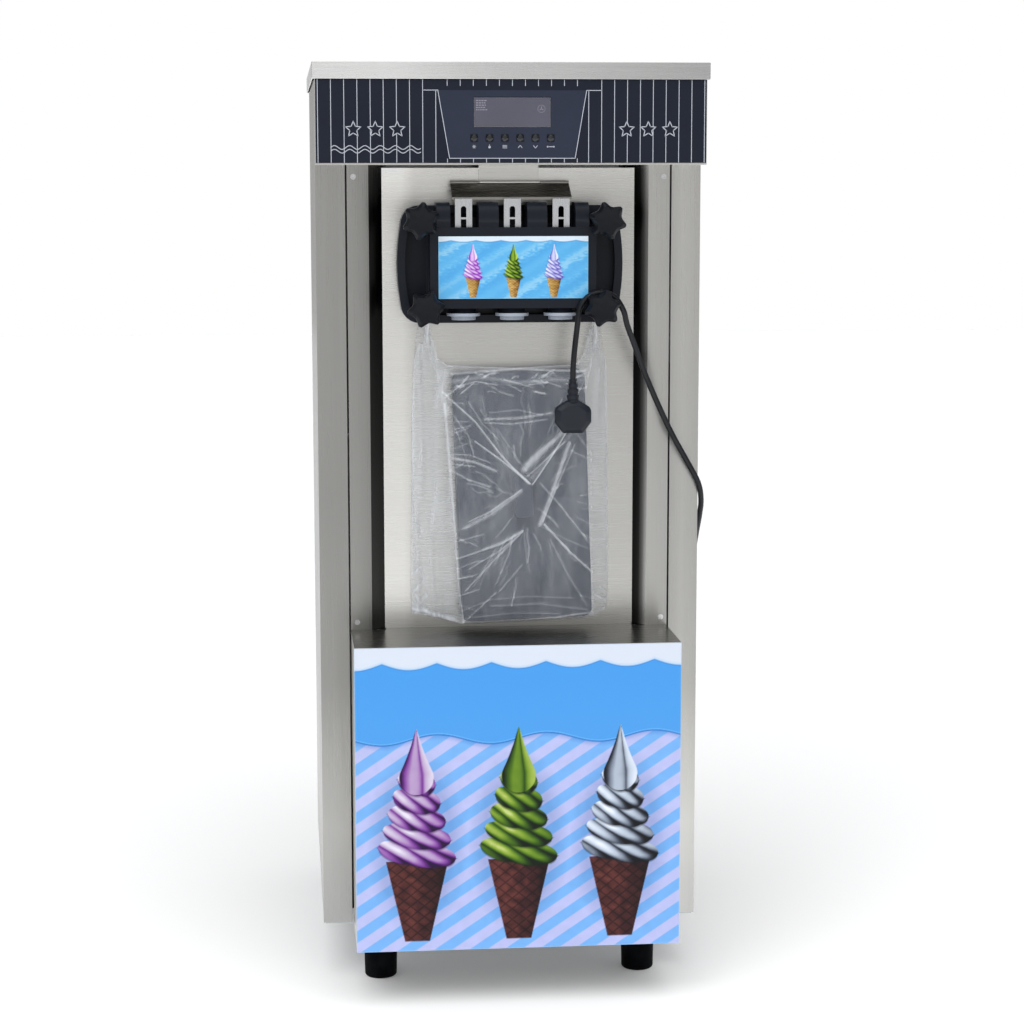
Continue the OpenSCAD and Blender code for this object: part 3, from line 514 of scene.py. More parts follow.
def relief(name, centre, axis, length, r0, r1, ribs, material):
    """Tapered strain relief with grooves between its ribs."""
    prof = [(0, r0 * 0.6), (0.0, r0)]
    for i in range(ribs):
        s0 = length * (i + 0.25) / ribs
        s1 = length * (i + 0.62) / ribs
        ra = r0 + (r1 - r0) * i / ribs
        rb = r0 + (r1 - r0) * (i + 1) / ribs
        prof += [(s0, ra), (s0 + 0.5, ra - 1.6), (s1, ra - 1.7), (s1 + 0.5, rb + 0.1)]
    prof += [(length - 0.6, r1), (length, r1 - 0.7), (length, r1 * 0.6)]
    v, f = ring_mesh(lathe(prof, centre, axis, 40))
    ob = mesh_object(name, v, f, material, True, "root", ())
    return soften(ob, 0.25, 2, 40)


plug_piece = plug_body()
plug_neck = relief("plug_relief", (PLUG[0], PLUG[1], PLUG[2] - 2), (0, 0, 1), 32, 9.3, 5.6, 4, M["plug"])


def blades(name, boxes, material, slot, bevel=0.5):
    bm = bmesh.new()
    for lo, hi in boxes:
        box_into(bm, lo, hi)
    ob = bm_object(name, bm, material=material, body="root", slot=slot)
    return soften(ob, bevel, 2)


def box_into(bm, lo, hi):
    g = bmesh.ops.create_cube(bm, size=1.0)
    c = [(a + b) / 2 for a, b in zip(lo, hi)]
    d = [b - a for a, b in zip(lo, hi)]
    for vert in g["verts"]:
        vert.co = Vector([(c[i] + vert.co[i] * d[i]) * MM for i in range(3)])
    return g["verts"]


py = PLUG[1] + 10
plug_pins = blades("plug_pins", [
    ((PLUG[0] - 4, py - 2, PLUG[2] - 20), (PLUG[0] + 4, py + 19, PLUG[2] - 16)),
    ((PLUG[0] - 14, py - 2, PLUG[2] - 42), (PLUG[0] - 8, py + 15, PLUG[2] - 38)),
    ((PLUG[0] + 8, py - 2, PLUG[2] - 42), (PLUG[0] + 14, py + 15, PLUG[2] - 38)),
], M["bright"], "bright_steel")
gland = cad_copy("cord_gland", "cord_gland_detail", M["plug"], "root", 0.6, 2, "plug_plastic")


# ---------------------------------------------------------------- painted pictures

TONE = 0.86


class Canvas:
    """A fine grid over a flat picture. Shapes are laid on it with soft edges."""

    def __init__(self, x0, x1, z0, z1, step):
        self.nx = int(round((x1 - x0) / step)) + 1
        self.nz = int(round((z1 - z0) / step)) + 1
        self.X, self.Z = np.meshgrid(np.linspace(x0, x1, self.nx), np.linspace(z0, z1, self.nz))
        self.rgb = np.ones((self.nz, self.nx, 3))
        self.soft = step * 0.9
        r = np.random.RandomState(11)
        coarse = r.rand(64, 64)
        self.speck = r.rand(self.nz, self.nx)
        i = np.linspace(0, 62.99, self.nz)[:, None]
        j = np.linspace(0, 62.99, self.nx)[None, :]
        a, b = i.astype(int), j.astype(int)
        fi, fj = i - a, j - b
        self.cloud = ((coarse[a, b] * (1 - fi) + coarse[a + 1, b] * fi) * (1 - fj)
                      + (coarse[a, b + 1] * (1 - fi) + coarse[a + 1, b + 1] * fi) * fj)

    def edge(self, d):
        """1 inside (d below 0), 0 outside, soft between."""
        return np.clip(0.5 - d / self.soft, 0, 1)

    def lay(self, mask, colour):
        colour = np.asarray(colour, float)
        if colour.ndim == 1:
            colour = colour[None, None, :]
        self.rgb = self.rgb * (1 - mask[..., None]) + colour * mask[..., None]

    def polygon(self, pts):
        """Signed distance to a closed polygon, negative inside."""
        best = np.full(self.X.shape, 1e9)
        inside = np.zeros(self.X.shape, bool)
        for (x0, z0), (x1, z1) in zip(pts, pts[1:] + pts[:1]):
            dx, dz = x1 - x0, z1 - z0
            t = np.clip(((self.X - x0) * dx + (self.Z - z0) * dz) / (dx * dx + dz * dz + 1e-9), 0, 1)
            best = np.minimum(best, np.hypot(self.X - x0 - t * dx, self.Z - z0 - t * dz))
            cross = (z0 > self.Z) != (z1 > self.Z)
            inside ^= cross & (self.X < (x1 - x0) * (self.Z - z0) / (z1 - z0 + 1e-9) + x0)
        return np.where(inside, -best, best)

    def ellipse(self, cx, cz, rx, rz, turn=0.0):
        c, s = math.cos(turn), math.sin(turn)
        u = (self.X - cx) * c + (self.Z - cz) * s
        v = -(self.X - cx) * s + (self.Z - cz) * c
        return (np.hypot(u / rx, v / rz) - 1) * min(rx, rz)

    def mesh(self, name, y, thickness, material, replaces, slot, body="root"):
        """The picture as a thin plate facing the front, its inks stored on the vertices."""
        nx, nz = self.nx, self.nz
        front = np.stack([self.X, np.full_like(self.X, y), self.Z], -1).reshape(-1, 3)
        rim_index = ([i for i in range(nx)] + [j * nx + nx - 1 for j in range(1, nz)]
                     + [(nz - 1) * nx + i for i in range(nx - 2, -1, -1)] + [j * nx for j in range(nz - 2, 0, -1)])
        back = front[rim_index].copy()
        back[:, 1] += thickness
        verts = np.concatenate([front, back]) * MM
        i, j = np.meshgrid(np.arange(nx - 1), np.arange(nz - 1))
        a = (j * nx + i).ravel()
        quads = np.stack([a, a + 1, a + nx + 1, a + nx], -1)
        n = nx * nz
        m = len(rim_index)
        k = np.arange(m)
        rim = np.array(rim_index)
        side = np.stack([rim[k], n + k, n + (k + 1) % m, rim[(k + 1) % m]], -1)
        faces = np.concatenate([quads, side])
        me = bpy.data.meshes.new(name)
        me.vertices.add(len(verts))
        me.vertices.foreach_set("co", verts.ravel())
        me.loops.add(faces.size + m)
        me.loops.foreach_set("vertex_index", np.concatenate([faces.ravel(), n + k[::-1]]))
        me.polygons.add(len(faces) + 1)
        me.polygons.foreach_set("loop_start", np.concatenate([np.arange(len(faces)) * 4, [faces.size]]))
        me.update(calc_edges=True)
        me.validate()
        ink = me.color_attributes.new("ink", "FLOAT_COLOR", "POINT")
        rgb = np.concatenate([self.rgb.reshape(-1, 3), self.rgb.reshape(-1, 3)[rim_index]])
        lin = TONE * np.where(rgb <= 0.04045, rgb / 12.92, ((np.clip(rgb, 0, 1) + 0.055) / 1.055) ** 2.4)
        ink.data.foreach_set("color", np.concatenate([lin, np.ones((len(lin), 1))], 1).ravel())
        ob = bpy.data.objects.new(name, me)
        scene.collection.objects.link(ob)
        return settle(ob, material, False, body, replaces)


def rgb8(*v):
    return np.array(v, float) / 255


def ramp(t, stops):
    """Colours along t from (position, colour) stops."""
    pos = [p for p, _ in stops]
    cols = np.array([c for _, c in stops], float) / 255
    return np.stack([np.interp(t, pos, cols[:, i]) for i in range(3)], -1)


def stops_at(stops, t):
    return np.array([np.interp(t, [q for q, _ in stops], [c[i] for _, c in stops]) for i in range(3)]) / 255


def coil(cv, cx, cz, w, h, tilt, stops, folds=2.4, lean=0.0, slant=1.3, tone=0.0):
    """One turn of soft ice: a tilted rounded band with a few slanted folds across it."""
    u = (cv.X - cx) / w
    mid = cz + tilt * (cv.X - cx) - 0.16 * h * (1 - u * u)
    f = (folds * 0.5 * u + slant * 0.5 * (cv.Z - mid) / h + lean + 0.05 * np.sin(3 * u + 9 * lean)) % 1.0
    hh = h * np.sqrt(np.clip(1 - np.abs(u) ** 2.8, 0, 1)) * (0.93 + 0.10 * np.sin(f * math.pi)) + 1e-6
    v = (cv.Z - mid) / hh
    outside = np.hypot((np.abs(u) - 1) * w, cv.Z - mid)
    d = np.where(np.abs(u) >= 1, outside, (np.abs(v) - 1) * np.maximum(hh, 0.3 * h))
    cv.lay(np.clip(1 - d / 3.0, 0, 1) * (d > -1) * 0.5 * (v < 0.2), stops_at(stops, 0.0))
    fold_highlight = np.sin(math.pi * f) ** 0.75 * (1 - 0.42 * f)
    light = 0.10 + 0.86 * fold_highlight - 0.20 * u - 0.12 * np.abs(u) ** 3 + 0.10 * v - 0.62 * np.clip(-v - 0.30, 0, 1) ** 1.2
    light = light + 0.22 * np.exp(-(((u + 0.35) / 0.3) ** 2 + ((v - 0.2) / 0.35) ** 2)) * fold_highlight
    light = light + 0.07 * (cv.cloud - 0.5) + 0.015 * (cv.speck - 0.5) + tone
    cv.lay(cv.edge(d), ramp(np.clip(light, 0, 1), stops))


def crest(cv, pts, radii, stops, tone=0.0, grooves=1.5):
    """The pulled tip: a tapering tube along a curve, lit from the left, with lengthwise grooves."""
    p = smooth_path([(a, 0, b) for a, b in pts], 10)
    n = len(p)
    r = np.interp(np.linspace(0, 1, n), np.linspace(0, 1, len(radii)), radii)
    best = np.full(cv.X.shape, 1e9)
    side = np.zeros(cv.X.shape)
    for i in range(n):
        q, q2 = p[max(i - 1, 0)], p[min(i + 1, n - 1)]
        tx, tz = q2.x - q.x, q2.z - q.z
        length = math.hypot(tx, tz) or 1
        dx, dz = cv.X - p[i].x, cv.Z - p[i].z
        d = np.hypot(dx, dz) - r[i]
        near = d < best
        side = np.where(near, (tz * dx - tx * dz) / length / max(r[i], 0.5), side)
        best = np.where(near, d, best)
    groove = np.abs(((side * grooves * 0.5 + 0.25) % 1.0) - 0.5) * 2
    light = 0.52 - 0.34 * side + 0.26 * (1 - groove) - 0.34 * groove ** 5 - 0.20 * np.abs(side) ** 4 + 0.05 * (cv.cloud - 0.5) + tone
    cv.lay(cv.edge(best), ramp(np.clip(light, 0, 1), stops))


def waffle(cv, pts, stops, pitch=9.0, dark=0.0):
    """A waffle cone or cup with crossed grooves, shaded round its axis."""
    d = cv.polygon(pts)
    xs = [p[0] for p in pts]
    cx, half = (min(xs) + max(xs)) / 2, (max(xs) - min(xs)) / 2
    u = np.clip((cv.X - cx) / half, -1, 1)
    a = np.abs((((cv.X * 0.8 + cv.Z) / pitch) % 1) - 0.5) * 2
    b = np.abs((((cv.X * 0.8 - cv.Z) / pitch) % 1) - 0.5) * 2
    groove = np.minimum(a, b)
    light = 0.60 - (0.26 + dark) * u - 0.24 * np.abs(u) ** 2.5 - 0.26 * np.exp(-(groove / 0.16) ** 2) + 0.30 * (cv.cloud - 0.5)
    light = light + 0.10 * np.clip(a - 0.6, 0, 1)
    cv.lay(cv.edge(d), ramp(np.clip(light, 0, 1), stops))
    return d


GREEN = [(0, (8, 22, 6)), (0.25, (30, 58, 10)), (0.5, (70, 108, 20)), (0.72, (118, 152, 42)),
         (0.9, (160, 184, 78)), (1, (200, 214, 130))]
PURPLE = [(0, (38, 8, 58)), (0.25, (98, 38, 128)), (0.45, (148, 92, 174)), (0.65, (184, 156, 200)),
          (0.85, (206, 192, 220)), (1, (236, 230, 246))]
SILVER = [(0, (12, 14, 20)), (0.25, (50, 56, 68)), (0.45, (122, 132, 148)), (0.65, (178, 190, 206)),
          (0.85, (208, 220, 236)), (1, (240, 246, 255))]
VIOLET = [(0, (84, 74, 176)), (0.3, (136, 130, 214)), (0.5, (184, 186, 236)), (0.75, (222, 226, 248)),
          (1, (250, 250, 255))]
LILAC = [(0, (120, 30, 168)), (0.3, (176, 90, 210)), (0.5, (208, 160, 228)), (0.75, (234, 214, 242)),
         (1, (252, 244, 255))]
LIME = [(0, (14, 30, 6)), (0.3, (54, 86, 12)), (0.55, (112, 150, 30)), (0.8, (168, 200, 60)), (1, (206, 226, 110))]
GOLD = [(0, (52, 30, 10)), (0.3, (120, 82, 34)), (0.55, (184, 142, 72)), (0.8, (222, 188, 118)), (1, (246, 226, 176))]
COCOA = [(0, (18, 7, 9)), (0.3, (38, 15, 18)), (0.55, (66, 30, 30)), (0.8, (106, 54, 48)), (1, (156, 100, 84))]


def serving(cv, cx, foot, w, stops, cone):
    """One upright serving: a plain cone, five narrowing turns and a straight tip. w is half the widest turn."""
    top = foot + 2.1 * w
    waffle(cv, [(cx - 0.8 * w, top), (cx + 0.8 * w, top), (cx + 0.32 * w, foot), (cx - 0.32 * w, foot)], cone,
           0.28 * w)
    step = 0.46 * w
    for k in range(5):
        coil(cv, cx, top + 0.22 * w + k * step, w * (1 - 0.13 * k), 0.31 * w, -0.16, stops, 2.3, 0.37 * k, 1.6)
    z = top + 0.22 * w + 4 * step
    crest(cv, [(cx, z + 1.35 * w), (cx, z + 0.9 * w), (cx, z + 0.45 * w), (cx, z + 0.1 * w)],
          [0.8, 0.14 * w, 0.3 * w, 0.44 * w], stops)


STRIPE_PITCH, STRIPE_SLOPE, STRIPE_SHARE = 33.5, 0.66, 0.2075
STRIPE_SCALE = 0.83  # a stripe's true width over its height
PANEL_X, PANEL_Z0, PANEL_Z1 = 226.5, 80, 505
HEAD_X, HEAD_Z0, HEAD_Z1 = 103.4, 983.5, 1068.8


def lower_picture(quick):
    """A generic picture for the lower panel: stripes, a blue field, a poured edge and three equal servings."""
    cv = Canvas(-PANEL_X, PANEL_X, PANEL_Z0, PANEL_Z1, 2.0 if quick else 1.0)
    X, Z = cv.X, cv.Z
    q = (Z - X * STRIPE_SLOPE) / STRIPE_PITCH
    s = np.abs((q % 1) - 0.5) * STRIPE_PITCH * STRIPE_SCALE
    stripe = np.clip(0.5 + (s - STRIPE_PITCH * STRIPE_SHARE) / (cv.soft * 1.4), 0, 1)
    cv.rgb = (rgb8(122, 182, 246)[None, None] * (1 - stripe[..., None]) + rgb8(190, 196, 242)[None,
                                        None] * stripe[..., None])
    cv.rgb *= (1 + 0.035 * (cv.cloud - 0.5))[..., None]
    # Blue field with an even wave for its lower edge, three waves across the panel
    edge = 376 + 7 * np.sin(X * 2 * math.pi / 151)
    cv.lay(np.clip(1 - (edge - Z) / 7, 0, 1) * (Z < edge) * 0.35, rgb8(70, 118, 196))
    cv.lay(cv.edge(edge - Z), rgb8(46, 118, 202))
    cv.lay(cv.edge(edge + 1.8 - Z), rgb8(108, 184, 248))
    cv.lay(cv.edge(edge + 3.4 - Z), rgb8(76, 160, 238))
    sky = ramp(np.clip((Z - 380) / 125, 0, 1) + 0.1 * (cv.cloud - 0.5), [(0, (80, 162, 238)), (1, (74, 160, 238))])
    cv.lay(cv.edge(edge + 5.0 - Z), sky)
    # Even scallops of cream along the top edge
    fall = 484 - 9 * np.abs(np.cos(X * math.pi / 75.5)) - Z
    cv.lay(cv.edge(fall - 2.2) * 0.8, rgb8(52, 128, 206))
    cv.lay(cv.edge(fall - 1.0), rgb8(150, 200, 242))
    cv.lay(cv.edge(fall), rgb8(206, 222, 242))
    cv.lay(cv.edge(fall + 2.6), rgb8(221, 229, 243))
    for cx, stops in ((-142, PURPLE), (0, GREEN), (142, SILVER)):
        cv.lay(np.clip(0.6 - cv.ellipse(cx, 230, 58, 110) / 22, 0, 1) * 0.22, rgb8(58, 84, 140))
        serving(cv, cx, 94, 54, stops, COCOA)
    # Pale rim where the film wraps round the panel's edge
    rim = np.minimum(np.minimum(X + PANEL_X, PANEL_X - X), np.minimum(Z - PANEL_Z0, PANEL_Z1 - Z))
    cv.lay(np.clip(1 - rim / 1.3, 0, 1) * 0.5, rgb8(190, 214, 240))
    return cv


def head_scene(quick):
    """The same generic picture for the small panel on the head, over slanted light."""
    cv = Canvas(-HEAD_X, HEAD_X, HEAD_Z0, HEAD_Z1, 1.1 if quick else 0.55)
    X, Z = cv.X, cv.Z
    q = (Z - X * 0.62)
    beam = 0.5 + 0.5 * np.sin(q / 5.4 + 2 * cv.cloud) * np.sin(q / 13.0 + 1.0)
    light = [(0, (84, 170, 230)), (0.6, (100, 184, 236)), (1, (146, 205, 240))]
    cv.rgb = ramp(np.clip(beam + 0.25 * (cv.cloud - 0.5), 0, 1), light)
    fall = 1064 - 2.2 * np.abs(np.cos(X * math.pi / 34.5)) - Z
    cv.lay(cv.edge(fall - 1.6) * 0.7, rgb8(92, 146, 196))
    cv.lay(cv.edge(fall - 0.6), rgb8(160, 204, 234))
    cv.lay(cv.edge(fall), rgb8(222, 234, 246))
    for cx, stops in ((-56, LILAC), (0, LIME), (56, VIOLET)):
        serving(cv, cx, 985.5, 13, stops, GOLD)
    rim = np.minimum(np.minimum(X + HEAD_X, HEAD_X - X), np.minimum(Z - HEAD_Z0, HEAD_Z1 - Z))
    cv.lay(np.clip(1 - rim / 0.8, 0, 1) * 0.5, rgb8(196, 226, 244))
    return cv


lower = lower_picture(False)
lower.Z = 80 + (lower.Z - 80) * 1.0127
lower.mesh("lower_print", -350.0, 1.1, M["print"], ["decor_panel"], "printed_panel")
head_scene(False).mesh("head_print", -278.5, 1.5, M["print_head"], ["head_picture"], "printed_panel")


# ---------------------------------------------------------------- header printing

FACE = -264.0


def strip(bm, a, b, width, y0, y1):
    """A thin raised line of ink from a to b in the XZ plane."""
    ax, az = a
    bx, bz = b
    length = math.hypot(bx - ax, bz - az) or 1
    nx, nz = -(bz - az) / length * width / 2, (bx - ax) / length * width / 2
    pts = [(ax + nx, az + nz), (bx + nx, bz + nz), (bx - nx, bz - nz), (ax - nx, az - nz)]
    front = [bm.verts.new((x * MM, y0 * MM, z * MM)) for x, z in pts]
    back = [bm.verts.new((x * MM, y1 * MM, z * MM)) for x, z in pts]
    bm.faces.new(front)
    for k in range(4):
        bm.faces.new((front[k], back[k], back[(k + 1) % 4], front[(k + 1) % 4]))


def disc(bm, x, z, r, y0, y1, sides=20):
    front = [bm.verts.new(((x + r * math.cos(2 * math.pi * k / sides)) * MM, y0 * MM,
                           (z + r * math.sin(2 * math.pi * k / sides)) * MM)) for k in range(sides)]
    back = [bm.verts.new((v.co.x, y1 * MM, v.co.z)) for v in front]
    bm.faces.new(front)
    for k in range(sides):
        bm.faces.new((front[k], back[k], back[(k + 1) % sides], front[(k + 1) % sides]))


def star(cx, cz, r, turn):
    return [(cx + (r if k % 2 == 0 else r * 0.45) * math.cos(math.radians(turn + 36 * k)),
             cz + (r if k % 2 == 0 else r * 0.45) * math.sin(math.radians(turn + 36 * k))) for k in range(10)]


def header_lines():
    bm = bmesh.new()
    top, low = 1281.6, 1168.9
    y0, y1 = FACE - 0.16, FACE + 0.05
    w = 0.95
    for sx in (-1, 1):
        for k in range(9):
            x = sx * (266.3 - 17.9 * k)
            strip(bm, (x, low), (x, top), w, y0, y1)
        strip(bm, (sx * 105.2, low), (sx * 105.2, 1267), w, y0, y1)
        strip(bm, (sx * 123.1, 1267), (sx * 102.4, 1267), w, y0, y1)
        strip(bm, (sx * 102.4, 1267.6), (sx * 86.6, 1174.9), w, y0, y1)
    strip(bm, (-87.2, 1174.9), (87.2, 1174.9), w, y0, y1)
    for k in range(11):
        x = -89.5 + 17.9 * k
        strip(bm, (x, 1272.8), (x, top), w, y0, y1)
        strip(bm, (x, low), (x, 1174.5), w, y0, y1)
    return bm


def header_emblems():
    """A plain row of three equal outline stars on each side, and small signs under the buttons."""
    dark, ink = bmesh.new(), bmesh.new()
    y1 = FACE + 0.05
    yd, yi = FACE - 0.26, FACE - 0.40
    for side in (-1, 1):
        for k in (-1, 0, 1):
            pts = star(side * 188 + 30 * k, 1214, 11, 90)
            dark.faces.new([dark.verts.new((x * MM, yd * MM, z * MM)) for x, z in pts])
            for a, b in zip(pts, pts[1:] + pts[:1]):
                strip(ink, a, b, 1.2, yi, y1)
                disc(ink, a[0], a[1], 0.6, yi, y1, 10)
    # Two plain rolling lines under the left row
    for row, amp in ((1189.5, 2.6), (1184.5, 2.6)):
        last = None
        for k in range(61):
            x = -249 + k * 2.05
            z = row + amp * math.sin(k * 0.62)
            if last is not None:
                strip(ink, last, (x, z), 1.1, yi, y1)
            last = (x, z)
    # Simple signs under the six buttons
    z = 1190.6
    for i in range(6):
        x = (i - 2.5) * 21.1
        if i == 0:
            for k in range(3):
                a = math.radians(60 * k)
                strip(ink, (x - 2.6 * math.cos(a), z - 2.6 * math.sin(a)),
                      (x + 2.6 * math.cos(a), z + 2.6 * math.sin(a)), 0.7, yi, y1)
        elif i == 1:
            disc(ink, x, z - 0.5, 1.7, yi, y1, 14)
            strip(ink, (x, z), (x, z + 3), 0.8, yi, y1)
        elif i == 2:
            for k in (-1, 0, 1):
                strip(ink, (x - 3.2, z + k * 1.7), (x + 3.2, z + k * 1.7), 0.7, yi, y1)
        elif i == 3:
            strip(ink, (x - 2.8, z - 1.6), (x, z + 2), 0.8, yi, y1)
            strip(ink, (x, z + 2), (x + 2.8, z - 1.6), 0.8, yi, y1)
        elif i == 4:
            strip(ink, (x - 2.8, z + 1.6), (x, z - 2), 0.8, yi, y1)
            strip(ink, (x, z - 2), (x + 2.8, z + 1.6), 0.8, yi, y1)
        else:
            strip(ink, (x - 4.2, z), (x + 4.2, z), 1.0, yi, y1)
            disc(ink, x - 4.2, z, 1.2, yi, y1, 12)
            disc(ink, x + 4.2, z, 1.2, yi, y1, 12)
    return dark, ink


def inner_ground():
    bm = bmesh.new()
    pts = [(-102.4, 1267), (-86.6, 1174.9), (86.6, 1174.9), (102.4, 1267)]
    window = [(-53, 1258.2), (53, 1258.2), (53, 1217.3), (-53, 1217.3)]
    y = FACE - 0.06
    a = [bm.verts.new((x * MM, y * MM, z * MM)) for x, z in (pts[0], pts[1], pts[2], pts[3])]
    b = [bm.verts.new((x * MM, y * MM, z * MM)) for x, z in (window[0], window[3], window[2], window[1])]
    for k in range(4):
        if k == 1:
            continue
        bm.faces.new((a[k], a[(k + 1) % 4], b[(k + 1) % 4], b[k]))
    # Below the window the ground is cut round the six buttons
    cuts = [(i - 2.5) * 21.1 for i in range(6)]
    zb, r = 1202.4, 5.4

    def quad(x0, z0, x1, z1):
        bm.faces.new([bm.verts.new((x * MM, y * MM, z * MM)) for x, z in ((x0, z0), (x1, z0), (x1, z1), (x0, z1))])
    quad(-53, zb + r, 53, 1217.3)
    edges = [-58.1] + [c for x in cuts for c in (x - r, x + r)] + [58.1]
    for k in range(0, len(edges), 2):
        quad(edges[k], zb - r, edges[k + 1], zb + r)
    quad(-58.1, 1174.9, 58.1, zb - r)
    for sx in (-1, 1):
        outer = [(sx * 86.6, 1174.9), (sx * 58.1, 1174.9), (sx * 58.1, zb + r), (sx * 53, zb + r), (sx * 53, 1217.3)]
        bm.faces.new([bm.verts.new((x * MM, y * MM, z * MM)) for x, z in outer])
    bmesh.ops.remove_doubles(bm, verts=bm.verts, dist=1e-6)
    for f in bm.faces:
        if f.normal.y > 0:
            f.normal_flip()
    return bm


bm_object("header_inner_ground", inner_ground(), material=M["fascia_mid"], body="root", slot="fascia_film")
bm_object("header_pinstripes", header_lines(), material=M["ink_white"], body="root", slot="fascia_film")
dark, ink = header_emblems()
bm_object("header_emblem_ground", dark, material=M["fascia"], body="root", slot="fascia_film")
bm_object("header_emblems", ink, material=M["ink_white"], body="root", slot="fascia_film")


def display_marks():
    """Faint bars and a ring behind the display window."""
    bm = bmesh.new()
    y0, y1 = -263.66, -263.5
    rnd = random.Random(5)
    for row in range(5):
        z = 1253.0 - row * 3.1
        x = -50
        while x < -37:
            w = rnd.uniform(1.6, 3.2)
            strip(bm, (x, z), (x + w, z), 1.5, y0, y1)
            x += w + 1.0
    for k in range(16):
        a, b = math.radians(22.5 * k), math.radians(22.5 * (k + 0.8))
        strip(bm, (40 + 5 * math.cos(a), 1242 + 5 * math.sin(a)), (40 + 5 * math.cos(b), 1242 + 5 * math.sin(b)),
              0.6, y0, y1)
    for k in range(3):
        a = math.radians(90 + 120 * k)
        strip(bm, (40, 1242), (40 + 3 * math.cos(a), 1242 + 3 * math.sin(a)), 1.0, y0, y1)
    return bm


bm_object("display_marks", display_marks(), material=M["lcd_seg"], body="root", slot="display_glass")


# ---------------------------------------------------------------- knobs

KNOBS = {"knob_top_left": (-128, 1090, 8), "knob_top_right": (128, 1090, -14),
         "knob_bottom_left": (-121.5, 970.5, 20), "knob_bottom_right": (121.5, 970.5, 14)}


def star_ring(cx, cz, y, tip, valley, turn, per=14):
    """Six points joined by hollow sides: one ring of a star knob."""
    out = []
    for k in range(6):
        a0 = math.radians(turn + 30 + 60 * k)
        a1 = a0 + math.radians(60)
        for i in range(per):
            t = i / per
            a = a0 + (a1 - a0) * t
            s = min(1.0, abs(2 * t - 1) / 0.84)
            r = valley + (tip - valley) * (s ** 1.9)
            out.append((cx + r * math.cos(a), y, cz - r * math.sin(a)))
    return out


for node, (x, z, turn) in KNOBS.items():
    back, front = -288.5, -305.5
    rings = [star_ring(x, z, back, 20.5, 17.5, turn), star_ring(x, z, back - 1.0, 24.6, 18.9, turn),
             star_ring(x, z, back - 6.5, 26.0, 19.6, turn), star_ring(x, z, back - 11.5, 25.9, 19.5, turn),
             star_ring(x, z, back - 12.6, 25.0, 19.0, turn),
             star_ring(x, z, front + 0.9, 20.9, 16.3, turn), star_ring(x, z, front, 19.8, 15.6, turn),
             star_ring(x, z, front - 0.0, 15.5, 12.6, turn), star_ring(x, z, front + 0.6, 13.5, 11.0, turn),
             star_ring(x, z, front + 0.6, 5.0, 4.4, turn)]
    v, f = ring_mesh(rings)
    bm = bmesh.new()
    me = bpy.data.meshes.new("tmp")
    me.from_pydata([tuple(c * MM for c in q) for q in v], [], f)
    bm.from_mesh(me)
    bpy.data.meshes.remove(me)
    prof = [(0, 14.5), (0.8, 16), (8.8, 16), (9.6, 15.2), (9.6, 10.6), (10.6, 9.5), (57.6, 9.5), (58.6, 8.7),
            (58.6, 5.6), (20, 5.6)]
    v, f = ring_mesh(lathe([(s, r) for s, r in prof], (x, back, z), (0, 1, 0), 48), (True, True))
    me = bpy.data.meshes.new("tmp")
    me.from_pydata([tuple(c * MM for c in q) for q in v], [], f)
    bm.from_mesh(me)
    bpy.data.meshes.remove(me)
    bmesh.ops.recalc_face_normals(bm, faces=bm.faces)
    ob = bm_object(node + "_detail", bm, material=M["knob"], body=node, replaces=[node], slot="knob_plastic")
    soften(ob, 0.5, 2, 26)


# ---------------------------------------------------------------- softened CAD shapes

SPOUTS = (-67.5, 0, 67.5)
cad_copy("dispensing_head", "head_moulding", M["head"], "root", 1.1, 3, "head_plastic",
         lambda c: all(math.hypot(c.x - x, c.y + 254) > 15 for x in SPOUTS))
cad_copy("top_lid", "lid_sheet", M["steel_lid"], "root", 1.1, 3, "stainless")


def sort_faces(ob, materials, choose):
    """Gives each face one of the materials; choose gets its centre in millimetres and its normal."""
    ob.data.materials.clear()
    for m in materials:
        ob.data.materials.append(m)
    for f in ob.data.polygons:
        f.material_index = choose(f.center / MM, f.normal)


box_sheet = cad_copy("lower_box", "lower_box_sheet", M["steel_v"], "root", 0.8, 2, "stainless")
sort_faces(box_sheet, [M["steel_v"], M["steel_ledge"]], lambda c, n: 1 if n.z > 0.5 and c.z > 500 else 0)
front_sheet = cad_copy("front_panel", "front_sheet", M["steel_stile"], "root", 0.5, 2, "stainless")


def front_face(c, n):
    if abs(n.x) > 0.2 and abs(n.y) > 0.2 and abs(c.x) > 170:
        return 1
    if n.y < -0.9 and abs(c.x) < 182:
        return 2
    return 0


sort_faces(front_sheet, [M["steel_stile"], M["steel_return"], M["steel_splash"]], front_face)
cad_copy("header_box", "header_sheet", M["steel_x"], "root", 0.5, 2, "stainless")
cad_copy("control_fascia", "fascia_plate", M["fascia"], "root", 0.3, 2, "fascia_film")
cad_copy("switch_flap", "flap_sheet", M["steel_dark"], "switch_flap", 0.35, 2, "stainless")
cad_copy("hopper_covers", "cover_mouldings", M["cover"], "root", 1.4, 3, "cover_plastic")
cad_copy("nozzle_caps", "cap_mouldings", M["cap"], "root", 0.5, 2, "white_plastic")
cad_copy("feet", "feet_rubber", M["foot"], "root", 1.2, 3, "foot_rubber")
cad_copy("panel_screws", "screw_heads", M["bright"], "root", 0.25, 2, "bright_steel")
for name in ("left", "center", "right"):
    cad_copy(f"draw_plunger_{name}", f"fork_{name}", M["steel_fine"], f"draw_plunger_{name}", 0.35, 2, "bright_steel")
for i in range(1, 7):
    dress(f"button_{i}", M["button"])

